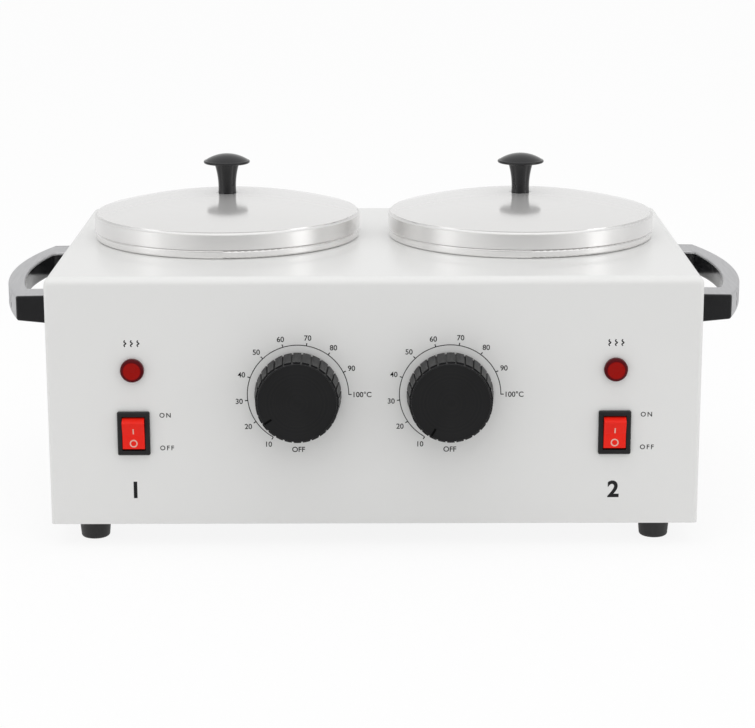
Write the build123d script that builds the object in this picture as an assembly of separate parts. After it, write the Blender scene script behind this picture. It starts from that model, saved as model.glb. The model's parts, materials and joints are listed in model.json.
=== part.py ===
from build123d import *
import os
from math import asin, atan2, degrees, radians, sqrt, tan

# A double wax warmer: a white sheet-steel housing on four feet, two heated wells with a lift-out
# pot and a domed lid in each, and on the front a thermostat dial, a rocker switch and a pilot lamp
# for each side. All sizes are millimetres.
# X runs to the right, Y from the front panel to the back, Z up. The origin lies in the middle
# between the outermost faces in X and Y, at the height of the soles of the feet.

# Housing
BODY_WIDTH = 322.0
BODY_DEPTH = 205.0
BODY_HEIGHT = 125.0
SHEET = 1.2
TOP_FOLD = 4.0
SIDE_FOLD = 2.0
LEAST_FOLD = 0.2
LIP_WIDTH = 13.0
PLATE_SHEET = 1.2
PLATE_GAP = 0.4
PLATE_SCREW_INSET = 8.0
PLATE_SCREW_LENGTH = 5.4

# Feet
FOOT_HEIGHT = 12.0
FOOT_TOP_RADIUS = 8.2
FOOT_SOLE_RADIUS = 7.1
FOOT_INSET = 19.5
FOOT_ROUNDING = 1.4
FOOT_SEAT = 3.5
FOOT_SCREW_LENGTH = 8.7

# Room round the two wells inside the housing
SIDE_SPACE = 9.8
MIDDLE_SPACE = 10.4
REAR_SPACE = 14.5

# Wells, pots and lids
WELL_WALL = 1.5
WELL_FLANGE = 5.5
POT_WALL = 1.2
POT_DEPTH = 74.0
POT_CORNER = 8.0
POT_SLIDE_GAP = 1.0
POT_FLOOR_GAP = 2.0
RIM_OVERHANG = 5.2
RIM_HEIGHT = 4.5
RIM_ROUNDING = 1.2
RIM_TOP_ROUNDING = 1.1
NECK_HEIGHT = 5.0
NECK_WALL = 1.2
LID_OVERHANG = 0.3
LID_WALL = 1.1
LID_SKIRT = 9.0
LID_RISE = 9.3
LID_EDGE = 1.4
LID_INNER_EDGE = 0.6
LID_SLIDE_GAP = 0.5
LID_SEAT_GAP = 0.1

# Heating of each well
BAND_THICKNESS = 2.0
BAND_HEIGHT = 46.0
BAND_DROP = 12.0
BAND_SLIT = 9.0
LUG_THICKNESS = 1.6
LUG_REACH = 9.0
LUG_ROOT = 1.0
LUG_HEIGHT = 32.2
CLAMP_PITCH = 23.0
CLAMP_TAIL = 4.0
WRAP_THICKNESS = 4.5
WRAP_SLIT = 24.0
WRAP_MARGIN = 1.5
BULB_RADIUS = 3.0
BULB_LENGTH = 58.0
CLIP_SHEET = 0.8
CLIP_WIDTH = 10.0
CLIP_FOOT = 7.0
CAPILLARY_RADIUS = 0.7
CAPILLARY_BEND = 4.0
CAPILLARY_LEAD = 8.0
CAPILLARY_DIP = 16.0
CAPILLARY_TURN = 20.0
CAPILLARY_RISE = 22.0
CAPILLARY_STUB = 10.0
CAPILLARY_ENTRY = 3.0

# Lid knobs
LID_KNOB_HEIGHT = 21.1
LID_KNOB_RADIUS = 12.3
LID_KNOB_STEM = 4.8
LID_KNOB_WAIST = 4.9
LID_KNOB_FLARE = 6.4
LID_KNOB_CAP = 6.0
LID_KNOB_NOSE = 0.8
LID_KNOB_DROP = 1.7
LID_KNOB_BORE = 10.5
LID_KNOB_SEAT = 0.2
LID_KNOB_SEAT_MARGIN = 1.0
LID_SCREW_LENGTH = 9.5
WASHER_RADIUS = 7.0
WASHER_THICKNESS = 1.0
WASHER_GAP = 0.1

# Dials and thermostats
DIAL_X = 37.4
DIAL_Z = 66.4
KNOB_PROTRUSION = 17.5
KNOB_GAP = 1.0
KNOB_BASE_RADIUS = 21.4
KNOB_FACE_RADIUS = 20.3
KNOB_SHOULDER = 1.5
KNOB_STEP = 0.8
KNOB_ROUNDING = 0.4
KNOB_GRIPS = 28
GRIP_GROOVE_WIDTH = 0.9
GRIP_GROOVE_DEPTH = 0.8
KNOB_RECESS_RADIUS = 15.5
KNOB_RECESS_DEPTH = 8.5
KNOB_HUB_WALL = 2.5
KNOB_FRONT_WALL = 3.5
FACE_DISC_RADIUS = 18.9
FACE_DISC_THICKNESS = 0.8
POINTER_LENGTH = 4.0
POINTER_WIDTH = 1.1
POINTER_NOTCH = 1.6
POINTER_NOTCH_OFFSET = 0.4
LEFT_POINTER_ANGLE = 213.3
RIGHT_POINTER_ANGLE = 240.0
SHAFT_RADIUS = 3.0
SHAFT_FLAT = 1.3
SHAFT_FIT = 0.05
SHAFT_ROUND_LENGTH = 2.0
SHAFT_INSIDE = 9.6
SHAFT_END_GAP = 0.5
THERMOSTAT_WIDTH = 34.0
THERMOSTAT_HEIGHT = 30.0
THERMOSTAT_DEPTH = 20.0
THERMOSTAT_CHAMFER = 2.0
THERMOSTAT_SCREW_SPACING = 23.0
THERMOSTAT_THREAD = 8.0
THERMOSTAT_SCREW_LENGTH = 8.2
THERMOSTAT_TAB_OFFSET = 9.0

# Column of switch and lamp on each side
COLUMN_INSET = 42.35

# Rocker switches
SWITCH_Z = 47.0
BEZEL_WIDTH = 16.0
BEZEL_HEIGHT = 22.0
BEZEL_THICKNESS = 2.0
BEZEL_CORNER = 0.8
BEZEL_CHAMFER = 0.5
SWITCH_BODY_WIDTH = 13.6
SWITCH_BODY_HEIGHT = 19.4
SWITCH_BODY_DEPTH = 16.0
ROCKER_WIDTH = 10.9
ROCKER_RADIUS = 8.3
ROCKER_GAP = 0.3
ROCKER_TILT = 10.0
ROCKER_PIVOT_DEPTH = 1.0
ROCKER_CREST = 3.4
ROCKER_BACK = 3.6
ROCKER_ROOM = 1.0
TRUNNION_RADIUS = 1.1
TRUNNION_LENGTH = 0.9
TRUNNION_END_GAP = 0.2
TAB_WIDTH = 4.8
TAB_THICKNESS = 0.8
TAB_LENGTH = 8.0
TAB_PITCH = 6.5

# Pilot lamps
LAMP_Z = 78.9
LENS_RADIUS = 5.85
LENS_HEIGHT = 3.2
LENS_SIDE = 1.4
LAMP_BODY_RADIUS = 4.6
LAMP_BODY_LENGTH = 20.0
LAMP_BODY_CHAMFER = 0.8
LAMP_CLIP_RADIUS = 7.0
LAMP_CLIP_THICKNESS = 2.0

# Side handles
HANDLE_REACH = 30.5
HANDLE_HALF_LENGTH = 69.0
HANDLE_FORWARD = 2.5
HANDLE_END_REACH = 18.2
HANDLE_TOP_DROP = 15.2
HANDLE_ROOT_HEIGHT = 14.4
HANDLE_TOP_SLOPE = 0.5
HANDLE_BOTTOM_SLOPE = 3.0
HANDLE_WALL = 8.6
HANDLE_END_WALL = 2.9
HANDLE_LEG = 19.5
HANDLE_INNER_CORNER = 3.0
HANDLE_EDGE = 1.2
HANDLE_END_CAP = 1.6
HANDLE_END_EDGE = 0.4
HANDLE_SCREW_LENGTH = 11.2
HANDLE_SCREW_BORE = 12.0
TRIM_THICKNESS = 1.6
TRIM_SLOTS = 16
TRIM_SLOT_LENGTH = 4.4
TRIM_SLOT_WIDTH = 1.5
TRIM_SLOT_LEAN = 38.0
TRIM_SLOT_PITCH = 7.0
TRIM_ROW_OFFSET = 2.1

# Cord entry in the back panel
GLAND_INSET = 48.0
GLAND_Z = 22.0
GLAND_BORE = 3.6
GLAND_BODY_RADIUS = 6.2
GLAND_FLANGE_RADIUS = 9.0
GLAND_FLANGE_THICKNESS = 2.0
GLAND_REACH = 6.0
GLAND_INSIDE = 12.0
GLAND_ROUNDING = 0.8
GLAND_SNAP_GAP = 0.15

# Terminal block and earth stud on the base plate
BLOCK_WAYS = 5
BLOCK_PITCH = 6.0
BLOCK_END = 6.0
BLOCK_DEPTH = 18.0
BLOCK_HEIGHT = 15.0
BLOCK_INSET = 90.0
BLOCK_SETBACK = 30.0
BLOCK_SCREW_INSET = 3.2
BLOCK_SCREW_LENGTH = 9.7
BLOCK_HEAD_ROOM = 3.0
CLAMP_HOLE_RADIUS = 1.6
CLAMP_HOLE_OFFSET = 4.5
EARTH_INSET = 47.0
EARTH_SETBACK = 42.0
EARTH_STUD_LENGTH = 12.0
EARTH_HEAD_RADIUS = 3.6
EARTH_HEAD_HEIGHT = 2.2
EARTH_RING_RADIUS = 4.2
EARTH_RING_THICKNESS = 0.8

# Inner wiring
WIRE_RADIUS = 1.0
WIRE_BEND = 5.0
STUB_BEND = 3.0
STUB_LENGTH = 9.0
LEAST_LEG_RATIO = 2.4
LEG_SHARE = 0.49
WIRE_SEAT = 5.0
WIRE_SPACING = 2.0
LIVE_LANE = 76.0
NEUTRAL_LANE = 64.0
LINK_DROP = 8.4
FUSE_RADIUS = 2.5
FUSE_LENGTH = 12.0
FUSE_LEAD = 7.2

# Screws
M3_RADIUS = 1.5
M4_RADIUS = 2.0
HEAD_RATIO = 1.9
HEAD_HEIGHT_RATIO = 1.2
HEAD_ROUNDING_RATIO = 0.45
CROSS_LENGTH_RATIO = 1.6
CROSS_WIDTH_RATIO = 0.4
NUT_RADIUS_RATIO = 2.0
NUT_HEIGHT_RATIO = 1.6
HOLE_CLEARANCE = 0.3
THREAD_FIT = 0.05
OVERCUT = 1.0

# Reference planes and radii that follow from the sizes above
FRONT_Y = KNOB_PROTRUSION - (KNOB_PROTRUSION + BODY_DEPTH + GLAND_REACH) / 2
BACK_Y = FRONT_Y + BODY_DEPTH
MID_Y = FRONT_Y + BODY_DEPTH / 2
SIDE_X = BODY_WIDTH / 2
BOTTOM_Z = FOOT_HEIGHT
TOP_Z = BOTTOM_Z + BODY_HEIGHT
PLATE_TOP_Z = BOTTOM_Z + PLATE_SHEET
LIP_TOP_Z = PLATE_TOP_Z + SHEET
FLANGE_RADIUS = (BODY_WIDTH - 2 * SIDE_SPACE - MIDDLE_SPACE) / 4
WELL_OUTER = FLANGE_RADIUS - WELL_FLANGE
WELL_BORE = WELL_OUTER - WELL_WALL
WELL_X = SIDE_X - SIDE_SPACE - FLANGE_RADIUS
WELL_Y = BACK_Y - REAR_SPACE - FLANGE_RADIUS
POT_RADIUS = WELL_BORE - POT_SLIDE_GAP
RIM_RADIUS = POT_RADIUS + RIM_OVERHANG
LID_RADIUS = RIM_RADIUS + LID_OVERHANG
LID_BORE = LID_RADIUS - LID_WALL
NECK_OUTER = LID_BORE - LID_SLIDE_GAP
WELL_FLOOR_Z = TOP_Z - POT_DEPTH - POT_FLOOR_GAP
WELL_BASE_Z = WELL_FLOOR_Z - WELL_WALL
BAND_OUTER = WELL_OUTER + BAND_THICKNESS
BAND_TOP_Z = TOP_Z - SHEET - WELL_WALL - BAND_DROP
BAND_BASE_Z = BAND_TOP_Z - BAND_HEIGHT
BAND_MIDDLE_Z = BAND_TOP_Z - BAND_HEIGHT / 2
LUG_X = (BAND_SLIT + LUG_THICKNESS) / 2
CLAMP_Y = WELL_Y - BAND_OUTER - LUG_REACH / 2
RIM_TOP_Z = TOP_Z + RIM_HEIGHT
LID_BASE_Z = RIM_TOP_Z + LID_SEAT_GAP
LID_RIM_Z = LID_BASE_Z + LID_SKIRT
LID_CROWN_Z = LID_RIM_Z + LID_RISE
KNOB_BASE_Z = LID_CROWN_Z - LID_KNOB_SEAT
WASHER_TOP_Z = LID_CROWN_Z - LID_WALL - WASHER_GAP
KNOB_SHOULDER_Z = KNOB_PROTRUSION - KNOB_SHOULDER
SHAFT_END = KNOB_PROTRUSION - KNOB_FRONT_WALL - SHAFT_END_GAP
COLUMN_X = SIDE_X - COLUMN_INSET
LENS_FLAT_RADIUS = LENS_RADIUS - LENS_HEIGHT + LENS_SIDE
HANDLE_Y = MID_Y - HANDLE_FORWARD
HANDLE_TOP_Z = TOP_Z - HANDLE_TOP_DROP
HANDLE_BOTTOM_Z = HANDLE_TOP_Z - HANDLE_ROOT_HEIGHT
HANDLE_SCREW_Z = HANDLE_TOP_Z - HANDLE_ROOT_HEIGHT / 2
HANDLE_SCREW_OFFSET = HANDLE_HALF_LENGTH - HANDLE_LEG / 2
GLAND_X = SIDE_X - GLAND_INSET
BLOCK_WIDTH = BLOCK_WAYS * BLOCK_PITCH + 2 * BLOCK_END
BLOCK_X = SIDE_X - BLOCK_INSET
BLOCK_Y = BACK_Y - BLOCK_SETBACK
WAY_Z = PLATE_TOP_Z + BLOCK_HEIGHT / 2
EARTH_X = SIDE_X - EARTH_INSET
EARTH_Y = BACK_Y - EARTH_SETBACK
EARTH_RING_Z = PLATE_TOP_Z + M4_RADIUS * NUT_HEIGHT_RATIO
STAND = (Align.CENTER, Align.CENTER, Align.MIN)


def rod(radius, length):
    """A cylinder that stands on the XY plane."""
    return Cylinder(radius, length, align=STAND)


def turned(points, rounded=()):
    """A body turned about Z from its (radius, height) corners; rounded holds (corner, radius)."""
    face = make_face(Polyline(*points, close=True))
    for corner, radius in rounded:
        nearest = face.vertices().sort_by_distance((*points[corner], 0))[0]
        face = fillet(nearest, radius)
    return revolve(Plane.XZ * face, Axis.Z)


def panel(x, height):
    """Front panel place: local X to the right, local Y up, local Z out towards the user."""
    origin = (x, FRONT_Y, BOTTOM_Z + height)
    return Location(Plane(origin=origin, x_dir=(1, 0, 0), z_dir=(0, -1, 0)))


def screw(radius, length):
    """A pan-head screw that points down -Z, its head standing on the XY plane."""
    head_radius = radius * HEAD_RATIO
    head_height = radius * HEAD_HEIGHT_RATIO
    head = turned(
        [(0, 0), (head_radius, 0), (head_radius, head_height), (0, head_height)],
        [(2, head_height * HEAD_ROUNDING_RATIO)],
    )
    recess = Box(radius * CROSS_LENGTH_RATIO, radius * CROSS_WIDTH_RATIO, head_height)
    recess = Pos(0, 0, head_height) * recess
    cross = recess + Rot(0, 0, 90) * recess
    return head - cross + Pos(0, 0, -length) * rod(radius, length)


def hex_nut(radius):
    height = radius * NUT_HEIGHT_RATIO
    nut = extrude(RegularPolygon(radius * NUT_RADIUS_RATIO, 6), height)
    return nut - rod(radius + THREAD_FIT, height)


def run_through(points, least):
    """A run's points without the inner ones nearer than the least leg to a neighbour."""
    end = Vector(*points[-1])
    kept = [Vector(*points[0])]
    for point in points[1:-1]:
        here = Vector(*point)
        if (here - kept[-1]).length > least and (here - end).length > least:
            kept.append(here)
    return kept + [end]


def tube(points, radius, bend):
    """A round wire or tube along straight runs, joined by arcs as wide as its legs allow."""
    run = run_through(points, LEAST_LEG_RATIO * radius)
    for before, corner, after in zip(run, run[1:], run[2:]):
        half_turn = radians((corner - before).get_angle(after - corner)) / 2
        leg = min((corner - before).length, (after - corner).length)
        bend = min(bend, LEG_SHARE * leg / tan(half_turn))
    path = FilletPolyline(*run, radius=bend)
    section = Plane(origin=path @ 0, z_dir=path % 0) * Circle(radius)
    return sweep(section, path=path)


def dome_height(radius, crown, sphere):
    """Height of a dome's surface at a radius from its axis."""
    return crown - sphere + sqrt(sphere**2 - radius**2)


def side_places():
    """The two sides of the machine, each with its sign along X."""
    return (("left", -1), ("right", 1))


def well_place(side, z=0.0):
    """The axis of a side's well, at a height."""
    return Pos(side * WELL_X, WELL_Y, z)


def plate_screw_places():
    edge_x = SIDE_X - PLATE_SCREW_INSET
    edge_y = BODY_DEPTH / 2 - PLATE_SCREW_INSET
    places = [(x * edge_x, MID_Y + y * edge_y) for x in (-1, 1) for y in (-1, 1)]
    return places + [(0, MID_Y - edge_y), (0, MID_Y + edge_y)]


def foot_places():
    near = FRONT_Y + FOOT_INSET
    far = BACK_Y - FOOT_INSET
    reach = SIDE_X - FOOT_INSET
    return {
        "front_left": (-reach, near),
        "front_right": (reach, near),
        "rear_left": (-reach, far),
        "rear_right": (reach, far),
    }


def housing_block(inset, low, high):
    """A block inside the housing's outline, from one height to another."""
    block = Box(BODY_WIDTH - 2 * inset, BODY_DEPTH - 2 * inset, high - low, align=STAND)
    return Pos(0, MID_Y, low) * block


def folded(block, side_fold, top_fold):
    """Rounds a block's upright edges and its top edges."""
    block = fillet(block.edges().filter_by(Axis.Z), side_fold)
    return fillet(block.faces().sort_by(Axis.Z)[-1].edges(), top_fold)


def front_cuts(side):
    """The holes of one side's dial, thermostat screws, switch and lamp."""
    through = Pos(0, 0, -2 * SHEET)
    dial = panel(side * DIAL_X, DIAL_Z)
    cuts = [dial * through * rod(SHAFT_RADIUS + 2 * HOLE_CLEARANCE, 3 * SHEET)]
    for end in (-1, 1):
        place = Pos(end * THERMOSTAT_SCREW_SPACING / 2, 0, 0)
        cuts.append(dial * place * through * rod(M3_RADIUS + HOLE_CLEARANCE, 3 * SHEET))
    window_width = SWITCH_BODY_WIDTH + 2 * HOLE_CLEARANCE
    window_height = SWITCH_BODY_HEIGHT + 2 * HOLE_CLEARANCE
    cuts.append(panel(side * COLUMN_X, SWITCH_Z) * Box(window_width, window_height, 4 * SHEET))
    lamp = panel(side * COLUMN_X, LAMP_Z)
    cuts.append(lamp * through * rod(LAMP_BODY_RADIUS + HOLE_CLEARANCE, 3 * SHEET))
    return cuts


def housing_shell():
    outer = folded(housing_block(0, BOTTOM_Z, TOP_Z), SIDE_FOLD, TOP_FOLD)
    inner_side = max(SIDE_FOLD - SHEET, LEAST_FOLD)
    inner_top = max(TOP_FOLD - SHEET, LEAST_FOLD)
    inner = folded(housing_block(SHEET, LIP_TOP_Z, TOP_Z - SHEET), inner_side, inner_top)
    plate_recess = housing_block(SHEET, BOTTOM_Z, PLATE_TOP_Z)
    lip_mouth = housing_block(LIP_WIDTH, PLATE_TOP_Z, LIP_TOP_Z)
    shell = outer - inner - plate_recess - lip_mouth
    cuts = []
    for _, side in side_places():
        cuts.append(well_place(side, TOP_Z - 2 * SHEET) * rod(WELL_BORE, 3 * SHEET))
        cuts += front_cuts(side)
        for end in (-1, 1):
            hole_y = HANDLE_Y + end * HANDLE_SCREW_OFFSET
            place = Pos(side * (SIDE_X - SHEET / 2), hole_y, HANDLE_SCREW_Z) * Rot(0, 90, 0)
            cuts.append(place * Cylinder(M4_RADIUS + HOLE_CLEARANCE, 3 * SHEET))
    gland_place = Pos(GLAND_X, BACK_Y - SHEET / 2, BOTTOM_Z + GLAND_Z) * Rot(90, 0, 0)
    cuts.append(gland_place * Cylinder(GLAND_BODY_RADIUS + GLAND_SNAP_GAP, 3 * SHEET))
    for x, y in plate_screw_places():
        cuts.append(Pos(x, y, PLATE_TOP_Z - SHEET) * rod(M3_RADIUS + THREAD_FIT, 3 * SHEET))
    return shell - cuts


def base_plate():
    plate = housing_block(SHEET + PLATE_GAP, BOTTOM_Z, PLATE_TOP_Z)
    holes = [(place, M3_RADIUS + HOLE_CLEARANCE) for place in plate_screw_places()]
    holes += [(place, M4_RADIUS + THREAD_FIT) for place in foot_places().values()]
    holes += [(place, M3_RADIUS + THREAD_FIT) for place in block_screw_places()]
    holes.append(((EARTH_X, EARTH_Y), M4_RADIUS + THREAD_FIT))
    cuts = [Pos(x, y, BOTTOM_Z - PLATE_SHEET) * rod(radius, 3 * PLATE_SHEET) for (x, y), radius in holes]
    return plate - cuts


def base_screws():
    one = Rot(180, 0, 0) * screw(M3_RADIUS, PLATE_SCREW_LENGTH)
    return Compound([Pos(x, y, BOTTOM_Z) * one for x, y in plate_screw_places()])


def foot(x, y):
    bore = M4_RADIUS + HOLE_CLEARANCE
    body = turned(
        [(bore, 0), (FOOT_SOLE_RADIUS, 0), (FOOT_TOP_RADIUS, FOOT_HEIGHT), (bore, FOOT_HEIGHT)],
        [(1, FOOT_ROUNDING)],
    )
    counterbore = rod(M4_RADIUS * HEAD_RATIO + HOLE_CLEARANCE, FOOT_HEIGHT - FOOT_SEAT)
    return Pos(x, y, 0) * (body - counterbore)


def foot_screws():
    one = Rot(180, 0, 0) * screw(M4_RADIUS, FOOT_SCREW_LENGTH)
    places = foot_places().values()
    return Compound([Pos(x, y, FOOT_HEIGHT - FOOT_SEAT) * one for x, y in places])


def heater_well(side):
    flange_z = TOP_Z - SHEET
    shell = turned(
        [
            (0, WELL_BASE_Z),
            (WELL_OUTER, WELL_BASE_Z),
            (WELL_OUTER, flange_z - WELL_WALL),
            (FLANGE_RADIUS, flange_z - WELL_WALL),
            (FLANGE_RADIUS, flange_z),
            (WELL_BORE, flange_z),
            (WELL_BORE, WELL_FLOOR_Z),
            (0, WELL_FLOOR_Z),
        ],
        [(1, POT_CORNER + WELL_WALL), (6, POT_CORNER)],
    )
    return well_place(side) * shell


def ring_with_slit(inner, outer, low, height, slit):
    """An upright sleeve with a slit at its front."""
    sleeve = rod(outer, height) - rod(inner, height)
    cut = Box(slit, outer - inner + 2 * WRAP_THICKNESS, height, align=STAND)
    return Pos(0, 0, low) * (sleeve - Pos(0, -(inner + outer) / 2, 0) * cut)


def clamp_levels():
    return (BAND_MIDDLE_Z - CLAMP_PITCH / 2, BAND_MIDDLE_Z + CLAMP_PITCH / 2)


def heater_band(side):
    """A band heater with two lugs that its clamp screws pull together."""
    band = ring_with_slit(WELL_OUTER, BAND_OUTER, BAND_BASE_Z, BAND_HEIGHT, BAND_SLIT)
    lug = Box(LUG_THICKNESS, LUG_REACH + LUG_ROOT, LUG_HEIGHT)
    lug_y = -BAND_OUTER - (LUG_REACH - LUG_ROOT) / 2
    band += [Pos(hand * LUG_X, lug_y, BAND_MIDDLE_Z) * lug for hand in (-1, 1)]
    for level in clamp_levels():
        hole = Pos(0, CLAMP_Y - WELL_Y, level) * Rot(0, 90, 0)
        band -= hole * Cylinder(M3_RADIUS + HOLE_CLEARANCE, BAND_SLIT + 4 * LUG_THICKNESS)
    return well_place(side) * band


def clamp_screws():
    """Two screws with nuts pull each heater band tight round its well."""
    grip = BAND_SLIT + 2 * LUG_THICKNESS
    nut_height = M3_RADIUS * NUT_HEIGHT_RATIO
    bolt = Pos(grip / 2, 0, 0) * Rot(0, 90, 0) * screw(M3_RADIUS, grip + CLAMP_TAIL)
    nut = Pos(-grip / 2 - nut_height, 0, 0) * Rot(0, 90, 0) * hex_nut(M3_RADIUS)
    solids = []
    for _, side in side_places():
        for level in clamp_levels():
            place = Pos(side * WELL_X, CLAMP_Y, level)
            solids += [place * bolt, place * nut]
    return Compound(solids)


def insulation_wrap(side):
    inner = BAND_OUTER + HOLE_CLEARANCE
    low = BAND_BASE_Z - WRAP_MARGIN
    height = BAND_HEIGHT + 2 * WRAP_MARGIN
    return well_place(side) * ring_with_slit(inner, inner + WRAP_THICKNESS, low, height, WRAP_SLIT)


def pot(side):
    inner = POT_RADIUS - POT_WALL
    floor = TOP_Z - POT_DEPTH
    neck_inner = NECK_OUTER - NECK_WALL
    body = turned(
        [
            (0, floor),
            (POT_RADIUS, floor),
            (POT_RADIUS, TOP_Z),
            (RIM_RADIUS, TOP_Z),
            (RIM_RADIUS, RIM_TOP_Z),
            (NECK_OUTER, RIM_TOP_Z),
            (NECK_OUTER, RIM_TOP_Z + NECK_HEIGHT),
            (neck_inner, RIM_TOP_Z + NECK_HEIGHT),
            (neck_inner, RIM_TOP_Z - POT_WALL),
            (inner, TOP_Z + POT_WALL),
            (inner, floor + POT_WALL),
            (0, floor + POT_WALL),
        ],
        [(1, POT_CORNER), (3, RIM_ROUNDING), (4, RIM_TOP_ROUNDING), (10, POT_CORNER - POT_WALL)],
    )
    return well_place(side) * body


def lid(side):
    """A spun lid: a shallow dome that turns down into a short skirt."""
    rim = LID_RADIUS - LID_EDGE
    sphere = (rim**2 + LID_RISE**2) / (2 * LID_RISE)
    half = rim / 2
    inner_crown = LID_CROWN_Z - LID_WALL
    inner_rim = LID_BORE - LID_INNER_EDGE
    inner_z = dome_height(inner_rim, inner_crown, sphere - LID_WALL)
    outline = [
        Line((0, inner_crown), (0, LID_CROWN_Z)),
        ThreePointArc(
            (0, LID_CROWN_Z), (half, dome_height(half, LID_CROWN_Z, sphere)), (rim, LID_RIM_Z)
        ),
        RadiusArc((rim, LID_RIM_Z), (LID_RADIUS, LID_RIM_Z - LID_EDGE), -LID_EDGE),
        Line((LID_RADIUS, LID_RIM_Z - LID_EDGE), (LID_RADIUS, LID_BASE_Z)),
        Line((LID_RADIUS, LID_BASE_Z), (LID_BORE, LID_BASE_Z)),
        Line((LID_BORE, LID_BASE_Z), (LID_BORE, inner_z - LID_INNER_EDGE)),
        Line((LID_BORE, inner_z - LID_INNER_EDGE), (inner_rim, inner_z)),
        ThreePointArc(
            (inner_rim, inner_z),
            (half, dome_height(half, inner_crown, sphere - LID_WALL)),
            (0, inner_crown),
        ),
    ]
    cover = revolve(Plane.XZ * make_face(outline), Axis.Z)
    hole = Pos(0, 0, inner_crown - LID_WALL) * rod(M4_RADIUS + HOLE_CLEARANCE, 3 * LID_WALL)
    seat = Pos(0, 0, KNOB_BASE_Z) * rod(LID_KNOB_STEM + LID_KNOB_SEAT_MARGIN, LID_WALL)
    return well_place(side) * (cover - hole - seat)


def lid_knob(side):
    """A mushroom knob: a stem that flares upwards and a shallow domed cap."""
    cap_low = LID_KNOB_HEIGHT - LID_KNOB_CAP
    nose_z = cap_low + LID_KNOB_DROP
    cap_edge = LID_KNOB_RADIUS - LID_KNOB_NOSE
    cap_edge_z = nose_z + LID_KNOB_NOSE
    cap_rise = LID_KNOB_HEIGHT - cap_edge_z
    cap_sphere = (cap_edge**2 + cap_rise**2) / (2 * cap_rise)
    half = cap_edge / 2
    thread = M4_RADIUS + THREAD_FIT
    outline = [
        Line((thread, 0), (LID_KNOB_STEM, 0)),
        ThreePointArc((LID_KNOB_STEM, 0), (LID_KNOB_WAIST, cap_low / 2), (LID_KNOB_FLARE, cap_low)),
        Line((LID_KNOB_FLARE, cap_low), (cap_edge, nose_z - LID_KNOB_NOSE)),
        ThreePointArc(
            (cap_edge, nose_z - LID_KNOB_NOSE), (LID_KNOB_RADIUS, nose_z), (cap_edge, cap_edge_z)
        ),
        ThreePointArc(
            (cap_edge, cap_edge_z),
            (half, dome_height(half, LID_KNOB_HEIGHT, cap_sphere)),
            (0, LID_KNOB_HEIGHT),
        ),
        Line((0, LID_KNOB_HEIGHT), (0, LID_KNOB_BORE)),
        Line((0, LID_KNOB_BORE), (thread, LID_KNOB_BORE)),
        Line((thread, LID_KNOB_BORE), (thread, 0)),
    ]
    knob = revolve(Plane.XZ * make_face(outline), Axis.Z)
    return well_place(side, KNOB_BASE_Z) * knob


def lid_washer(side):
    washer = rod(WASHER_RADIUS, WASHER_THICKNESS) - rod(M4_RADIUS + HOLE_CLEARANCE, WASHER_THICKNESS)
    return well_place(side, WASHER_TOP_Z - WASHER_THICKNESS) * washer


def lid_knob_screw(side):
    one = Rot(180, 0, 0) * screw(M4_RADIUS, LID_SCREW_LENGTH)
    return well_place(side, WASHER_TOP_Z - WASHER_THICKNESS) * one


def shaft_section(radius, flat):
    section = Circle(radius)
    return section - Pos(0, -flat - radius) * Rectangle(2 * radius, 2 * radius)


def thermostat_body(side):
    """The thermostat's case behind the panel, with its shaft bore, threads and two tabs."""
    back = -SHEET - THERMOSTAT_DEPTH
    case = Pos(0, 0, back) * Box(THERMOSTAT_WIDTH, THERMOSTAT_HEIGHT, THERMOSTAT_DEPTH, align=STAND)
    case = chamfer(case.edges().filter_by(Axis.Z), THERMOSTAT_CHAMFER)
    bore_depth = SHAFT_INSIDE + OVERCUT
    case -= Pos(0, 0, -bore_depth) * rod(SHAFT_RADIUS + SHAFT_FIT, bore_depth)
    tab = Box(TAB_WIDTH, TAB_THICKNESS, TAB_LENGTH)
    for end in (-1, 1):
        hole = Pos(end * THERMOSTAT_SCREW_SPACING / 2, 0, -SHEET - THERMOSTAT_THREAD)
        case -= hole * rod(M3_RADIUS + THREAD_FIT, THERMOSTAT_THREAD + SHEET)
        case += Pos(end * THERMOSTAT_TAB_OFFSET, 0, back - TAB_LENGTH / 2) * tab
    return panel(side * DIAL_X, DIAL_Z) * case


def thermostat_screws():
    one = screw(M3_RADIUS, THERMOSTAT_SCREW_LENGTH)
    solids = []
    for _, side in side_places():
        for end in (-1, 1):
            place = Pos(end * THERMOSTAT_SCREW_SPACING / 2, 0, 0)
            solids.append(panel(side * DIAL_X, DIAL_Z) * place * one)
    return Compound(solids)


def thermostat_shaft(side):
    """A turned spindle: round inside the thermostat, with a flat inside the knob."""
    flat_start = KNOB_GAP + SHAFT_ROUND_LENGTH
    round_part = Pos(0, 0, -SHAFT_INSIDE) * rod(SHAFT_RADIUS, flat_start + SHAFT_INSIDE)
    flat_part = extrude(shaft_section(SHAFT_RADIUS, SHAFT_FLAT), SHAFT_END - flat_start)
    return panel(side * DIAL_X, DIAL_Z) * (round_part + Pos(0, 0, flat_start) * flat_part)


def grip_grooves():
    """The grooves between the knob's grip segments, from its back edge to its shoulder."""
    length = KNOB_SHOULDER_Z - KNOB_GAP
    lean = degrees(atan2(KNOB_BASE_RADIUS - KNOB_FACE_RADIUS, length))
    middle = Pos((KNOB_BASE_RADIUS + KNOB_FACE_RADIUS) / 2, 0, KNOB_GAP + length / 2)
    groove = middle * Rot(0, -lean, 0) * Box(2 * GRIP_GROOVE_DEPTH, GRIP_GROOVE_WIDTH, 2 * length)
    groove -= Pos(0, 0, KNOB_SHOULDER_Z) * rod(2 * KNOB_BASE_RADIUS, length)
    return [Rot(0, 0, 360 * (grip + 0.5) / KNOB_GRIPS) * groove for grip in range(KNOB_GRIPS)]


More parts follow.
